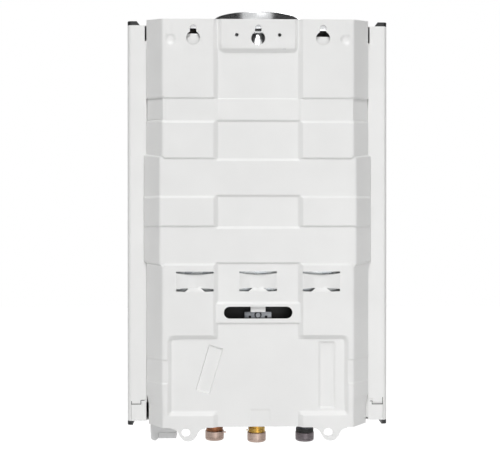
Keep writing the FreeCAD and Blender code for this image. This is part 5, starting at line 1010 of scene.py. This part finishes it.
def surface(name, **sockets):
    """A new material, its node tree, its shader with the given sockets set, and Object coordinates."""
    material = bpy.data.materials.new(name)
    material.use_nodes = True
    tree = material.node_tree
    shader = tree.nodes["Principled BSDF"]
    for socket, value in sockets.items():
        shader.inputs[socket.replace("_", " ")].default_value = value
    place = put(tree, "TexCoord")
    return material, tree, shader, place.outputs["Object"]


def per_mm(size):
    """The scale that gives a pattern cells of one size, in millimetres, on coordinates in metres."""
    return 1.0 / (size * MM)


def noise(tree, place, size, detail):
    """Noise with cells of one size, in millimetres."""
    settings = {"Vector": place, "Scale": per_mm(size), "Detail": detail}
    return put(tree, "TexNoise", settings).outputs["Fac"]


def tint(tree, shader, share, dark, bright):
    """Colours a shader between two hex colours."""
    mix = put(tree, "Mix", {"Factor": share, 6: linear(dark), 7: linear(bright)}, data_type="RGBA")
    tree.links.new(mix.outputs[2], shader.inputs["Base Color"])


def gloss(tree, shader, value, low, high, rough):
    """Spreads a pattern's values from low to high over a pair of roughnesses."""
    spread = put(tree, "MapRange", {"Value": value, "From Min": low, "From Max": high,
                                              "To Min": rough[0], "To Max": rough[1]})
    tree.links.new(spread.outputs["Result"], shader.inputs["Roughness"])


def bump(tree, shader, pattern, strength, depth):
    """Presses a pattern into a shader's surface, to a depth in millimetres."""
    relief = put(tree, "Bump", {"Height": pattern, "Strength": strength, "Distance": depth * MM})
    tree.links.new(relief.outputs["Normal"], shader.inputs["Normal"])


print("finish tools ready")

# %% [markdown]
# ## Painted steel
# Powder coat is a polyester dust, sprayed dry and baked on. It gives a satin white with a faint
# orange peel about 1.5 mm across, which only shows where a lamp is mirrored in it.

# %% White powder coat
def powder_coat():
    material, tree, shader, place = surface("white_powder_coat", Roughness=0.42, IOR=1.5)
    ramp = put(tree, "ValToRGB", {"Fac": noise(tree, place, 60, 2.0)})
    stops = ramp.color_ramp.elements
    stops[0].position, stops[1].position = 0.3, 0.7
    stops[0].color, stops[1].color = linear("#EDEDEC"), linear("#F1F1F0")
    tree.links.new(ramp.outputs["Color"], shader.inputs["Base Color"])
    bump(tree, shader, noise(tree, place, 1.5, 1.0), 0.08, 0.02)
    return material


# %% [markdown]
# ## Bare metals
# Zinc, steel, copper and brass differ in colour first and in the marks of their making next:
# zinc freezes into spangles, drawn wire and turned parts carry fine lines, rolled sheet is
# streaked one way, and castings are pitted. One function builds all of them from a colour pair,
# a roughness pair and a pattern whose cells have a real size along each axis.

# %% Bare metals
def metal(name, dark, bright, rough, cell, depth=0.02, spangle=False):
    """A metal with a pattern of cells given in millimetres along x, y and z."""
    material, tree, shader, place = surface(name, Metallic=1.0)
    scale = [per_mm(size) for size in cell]
    stretched = put(tree, "Mapping", {"Vector": place, "Scale": scale}).outputs[0]
    if spangle:
        pattern = put(tree, "TexVoronoi", {"Vector": stretched, "Scale": 1.0}, feature="F1")
        pattern = put(tree, "SeparateColor", {"Color": pattern.outputs["Color"]}).outputs["Red"]
    else:
        pattern = put(tree, "TexNoise", {"Vector": stretched, "Scale": 1.0, "Detail": 3.0})
        pattern = pattern.outputs["Fac"]
    both = put(tree, "Math", {0: pattern, 1: noise(tree, place, 18, 4.0)}, operation="ADD")
    share = put(tree, "MapRange", {"Value": both.outputs[0], "From Min": 0.75, "From Max": 1.25})
    tint(tree, shader, share.outputs["Result"], dark, bright)
    gloss(tree, shader, pattern, 0.2, 0.8, rough)
    bump(tree, shader, pattern, 0.25, depth)
    return material


# %% [markdown]
# ## Plastics, rubber and ceramic
# Moulded plastic copies the texture of its steel mould, a fine leather-like grain of about
# 0.8 mm. Rubber is duller and a little dusty. Glazed ceramic is smooth with a faint crackle.

# %% Moulded finishes
def moulded(name, dark, bright, rough, grain, depth, **sockets):
    """A moulded finish with a grain given in millimetres."""
    material, tree, shader, place = surface(name, **sockets)
    cloud = noise(tree, place, 25, 3.0)
    cells = put(tree, "TexVoronoi", {"Vector": place, "Scale": per_mm(grain)}, feature="SMOOTH_F1")
    tint(tree, shader, cloud, dark, bright)
    gloss(tree, shader, cloud, 0.3, 0.7, rough)
    bump(tree, shader, cells.outputs["Distance"], 0.3, depth)
    return material


def window_pane(name, colour, rough, through):
    """Clear glass or tinted acrylic: smooth, with faint waves from rolling."""
    material, tree, shader, place = surface(name, Base_Color=linear(colour), Roughness=rough, IOR=1.5,
                                            Transmission_Weight=through)
    bump(tree, shader, noise(tree, place, 12, 1.0), 0.05, 0.05)
    return material


# %% The heater's finishes
finishes = {
    "white_coat": powder_coat(),
    "galvanised": metal("galvanised_sheet", "#9FA3A6", "#D9DCDD", (0.28, 0.45), (7, 7, 7), spangle=True),
    "polished": metal("polished_stainless", "#C4C5C6", "#D6D7D8", (0.2, 0.28), (0.5, 0.5, 9), 0.004),
    "nickel": metal("dulled_nickel", "#A08B81", "#C4B0A5", (0.4, 0.52), (9, 9, 0.6)),
    "grey_steel": metal("dulled_steel", "#665F62", "#8C8588", (0.4, 0.52), (9, 9, 0.6)),
    "steel": metal("zinc_plated_steel", "#A9ABAD", "#DADBDC", (0.22, 0.36), (0.4, 0.4, 4)),
    "copper": metal("drawn_copper", "#A8593A", "#E39A72", (0.22, 0.42), (1.2, 1.2, 14)),
    "brass": metal("turned_brass", "#B48A3C", "#EACB78", (0.2, 0.34), (9, 9, 0.5)),
    "dark_brass": metal("oxidised_brass", "#86583E", "#C08A66", (0.3, 0.46), (9, 9, 0.6)),
    "dark_steel": metal("blackened_steel", "#4A4B4E", "#77797C", (0.34, 0.5), (8, 8, 0.6)),
    "cast_alloy": metal("die_cast_aluminium", "#8B8D8F", "#C4C6C7", (0.4, 0.55), (1.2, 1.2, 1.2), 0.05),
    "black_plastic": moulded("black_abs", "#191A1B", "#242526", (0.42, 0.55), 0.8, 0.03),
    "dark_plastic": moulded("charcoal_abs", "#2C2E30", "#36383B", (0.38, 0.5), 0.8, 0.03),
    "grey_plastic": moulded("light_grey_abs", "#E2E3E3", "#ECECEC", (0.4, 0.52), 0.8, 0.03),
    "rubber": moulded("black_rubber", "#1C1C1C", "#2B2A29", (0.65, 0.8), 0.5, 0.02),
    "ceramic": moulded("glazed_ceramic", "#E9E5DC", "#F3F0E9", (0.12, 0.2), 3.0, 0.01),
    "cell": moulded("printed_sleeve", "#22303F", "#2B3B4C", (0.25, 0.35), 2.0, 0.005),
    "ink": moulded("screen_print", "#DCDCDA", "#E6E6E4", (0.5, 0.6), 0.3, 0.004),
    "glow": moulded("lit_segments", "#E88A3A", "#F0A050", (0.4, 0.5), 0.3, 0.004,
                    Emission_Color=linear("#FF9A4A"), Emission_Strength=0.6),
    "lens": window_pane("tinted_acrylic", "#1A2024", 0.06, 0.0),
    "glass": window_pane("tempered_glass", "#F4F8F6", 0.02, 1.0),
}


def coat(piece, finish):
    """Gives a piece one finish in place of what it had."""
    piece.data.materials.clear()
    piece.data.materials.append(finishes[finish])


for row in frame["record"]["subparts"]:
    coat(frame["nodes"][row["node"]], row["material_slot"])
coat(frame["nodes"]["slot_bracket_screw"], "dark_steel")
for piece, finish in dressed:
    coat(piece, finish)
print("finishes", sorted(finishes))

# %% [markdown]
# ## Camera and light
# The view is straight on from behind, level with the middle ridges, from about a metre away. One
# broad lamp high behind the camera and a smaller one low down light the folds, a third lights the
# heater's front, and the pale surroundings do the rest.

# %% Camera
# A 65 mm lens a metre behind the back plate, looking almost level along -Y and a little to +X.
clear()
bpy.ops.object.camera_add(location=(0.0316, 0.9913, -0.2023),
                          rotation=(math.pi / 2 - 0.0018, 0, math.pi - 0.0228))
camera = bpy.context.object
camera.name = "camera"
camera.data.lens = 65.4
camera.data.sensor_width = 36
camera.data.clip_start, camera.data.clip_end = 0.01, 50
bpy.context.scene.camera = camera

# %% Lamps, world, floor and cards
def lamp(name, place, aim, size, watts):
    """A square soft lamp that points at a place."""
    bpy.ops.object.light_add(type="AREA", location=place)
    light = bpy.context.object
    light.name = name
    light.data.shape = "SQUARE"
    light.data.size = size
    light.data.energy = watts
    way = mathutils.Vector(aim) - mathutils.Vector(place)
    light.rotation_euler = way.to_track_quat("-Z", "Y").to_euler()


lamp("high_lamp", (0.6, 4.0, 4.8), (0, 0, -0.2), 2.2, 243)
lamp("low_lamp", (-0.5, 2.4, -0.62), (0, 0, -0.3), 1.0, 14)
lamp("front_lamp", (-0.6, -2.0, 1.3), (0, 0, -0.2), 1.4, 50)


def seen_by(tree, *rays):
    """1 for rays of any of these kinds, and 0 for the rest."""
    path = put(tree, "LightPath")
    seen = path.outputs[f"Is {rays[0]} Ray"]
    for ray in rays[1:]:
        both = put(tree, "Math", {0: seen, 1: path.outputs[f"Is {ray} Ray"]}, operation="MAXIMUM")
        seen = both.outputs[0]
    return seen


# Even pale light; the camera, mirrors and glass see plain white.
world = bpy.data.worlds.new("pale_world")
bpy.context.scene.world = world
world.use_nodes = True
tree = world.node_tree
tree.nodes.clear()
seen = seen_by(tree, "Camera", "Glossy", "Transmission")
light = put(tree, "MapRange", {"Value": seen, "To Min": 0.17, "To Max": 1.0})
shade = put(tree, "Background", {"Color": linear("#FFFFFF"), "Strength": light.outputs["Result"]})
put(tree, "OutputWorld", {"Surface": shade.outputs[0]})

# A matt floor well below the heater, which hangs on a wall in use.
clear()
bpy.ops.mesh.primitive_plane_add(size=12, location=(0, 0, -0.85))
floor = named("floor")
material, tree, shader = surface("pale_floor", Base_Color=linear("#D8D8D8"), Roughness=0.8)[:3]
seen = put(tree, "Math", {0: seen_by(tree, "Camera", "Glossy"), 1: 0.9}, operation="MULTIPLY")
glow = put(tree, "Emission", {"Color": linear("#FFFFFF"), "Strength": 1.14})
blend = put(tree, "MixShader", {0: seen.outputs[0], 1: shader.outputs[0], 2: glow.outputs[0]})
tree.links.new(blend.outputs[0], tree.nodes["Material Output"].inputs["Surface"])
floor.data.materials.append(material)
settle(floor)


def dark_card(side):
    """A dark studio card beside the heater, seen only in mirrors: it draws the edges of bare metal."""
    bpy.ops.mesh.primitive_plane_add(size=1, location=(side * 1.25, -0.15, 0.33),
                                     rotation=(math.pi / 2, 0, side * math.radians(-78)))
    card = named("dark_card_left" if side > 0 else "dark_card_right")
    card.scale = (2.6, 1.75, 1)
    settle(card)
    card.data.materials.append(surface("dark_card", Base_Color=linear("#202020"), Roughness=0.9)[0])
    card.visible_camera = card.visible_diffuse = card.visible_shadow = card.visible_transmission = False


dark_card(1)
dark_card(-1)
bpy.context.scene.view_settings.view_transform = "Standard"
print("light ready")

# %% Finish
clear()
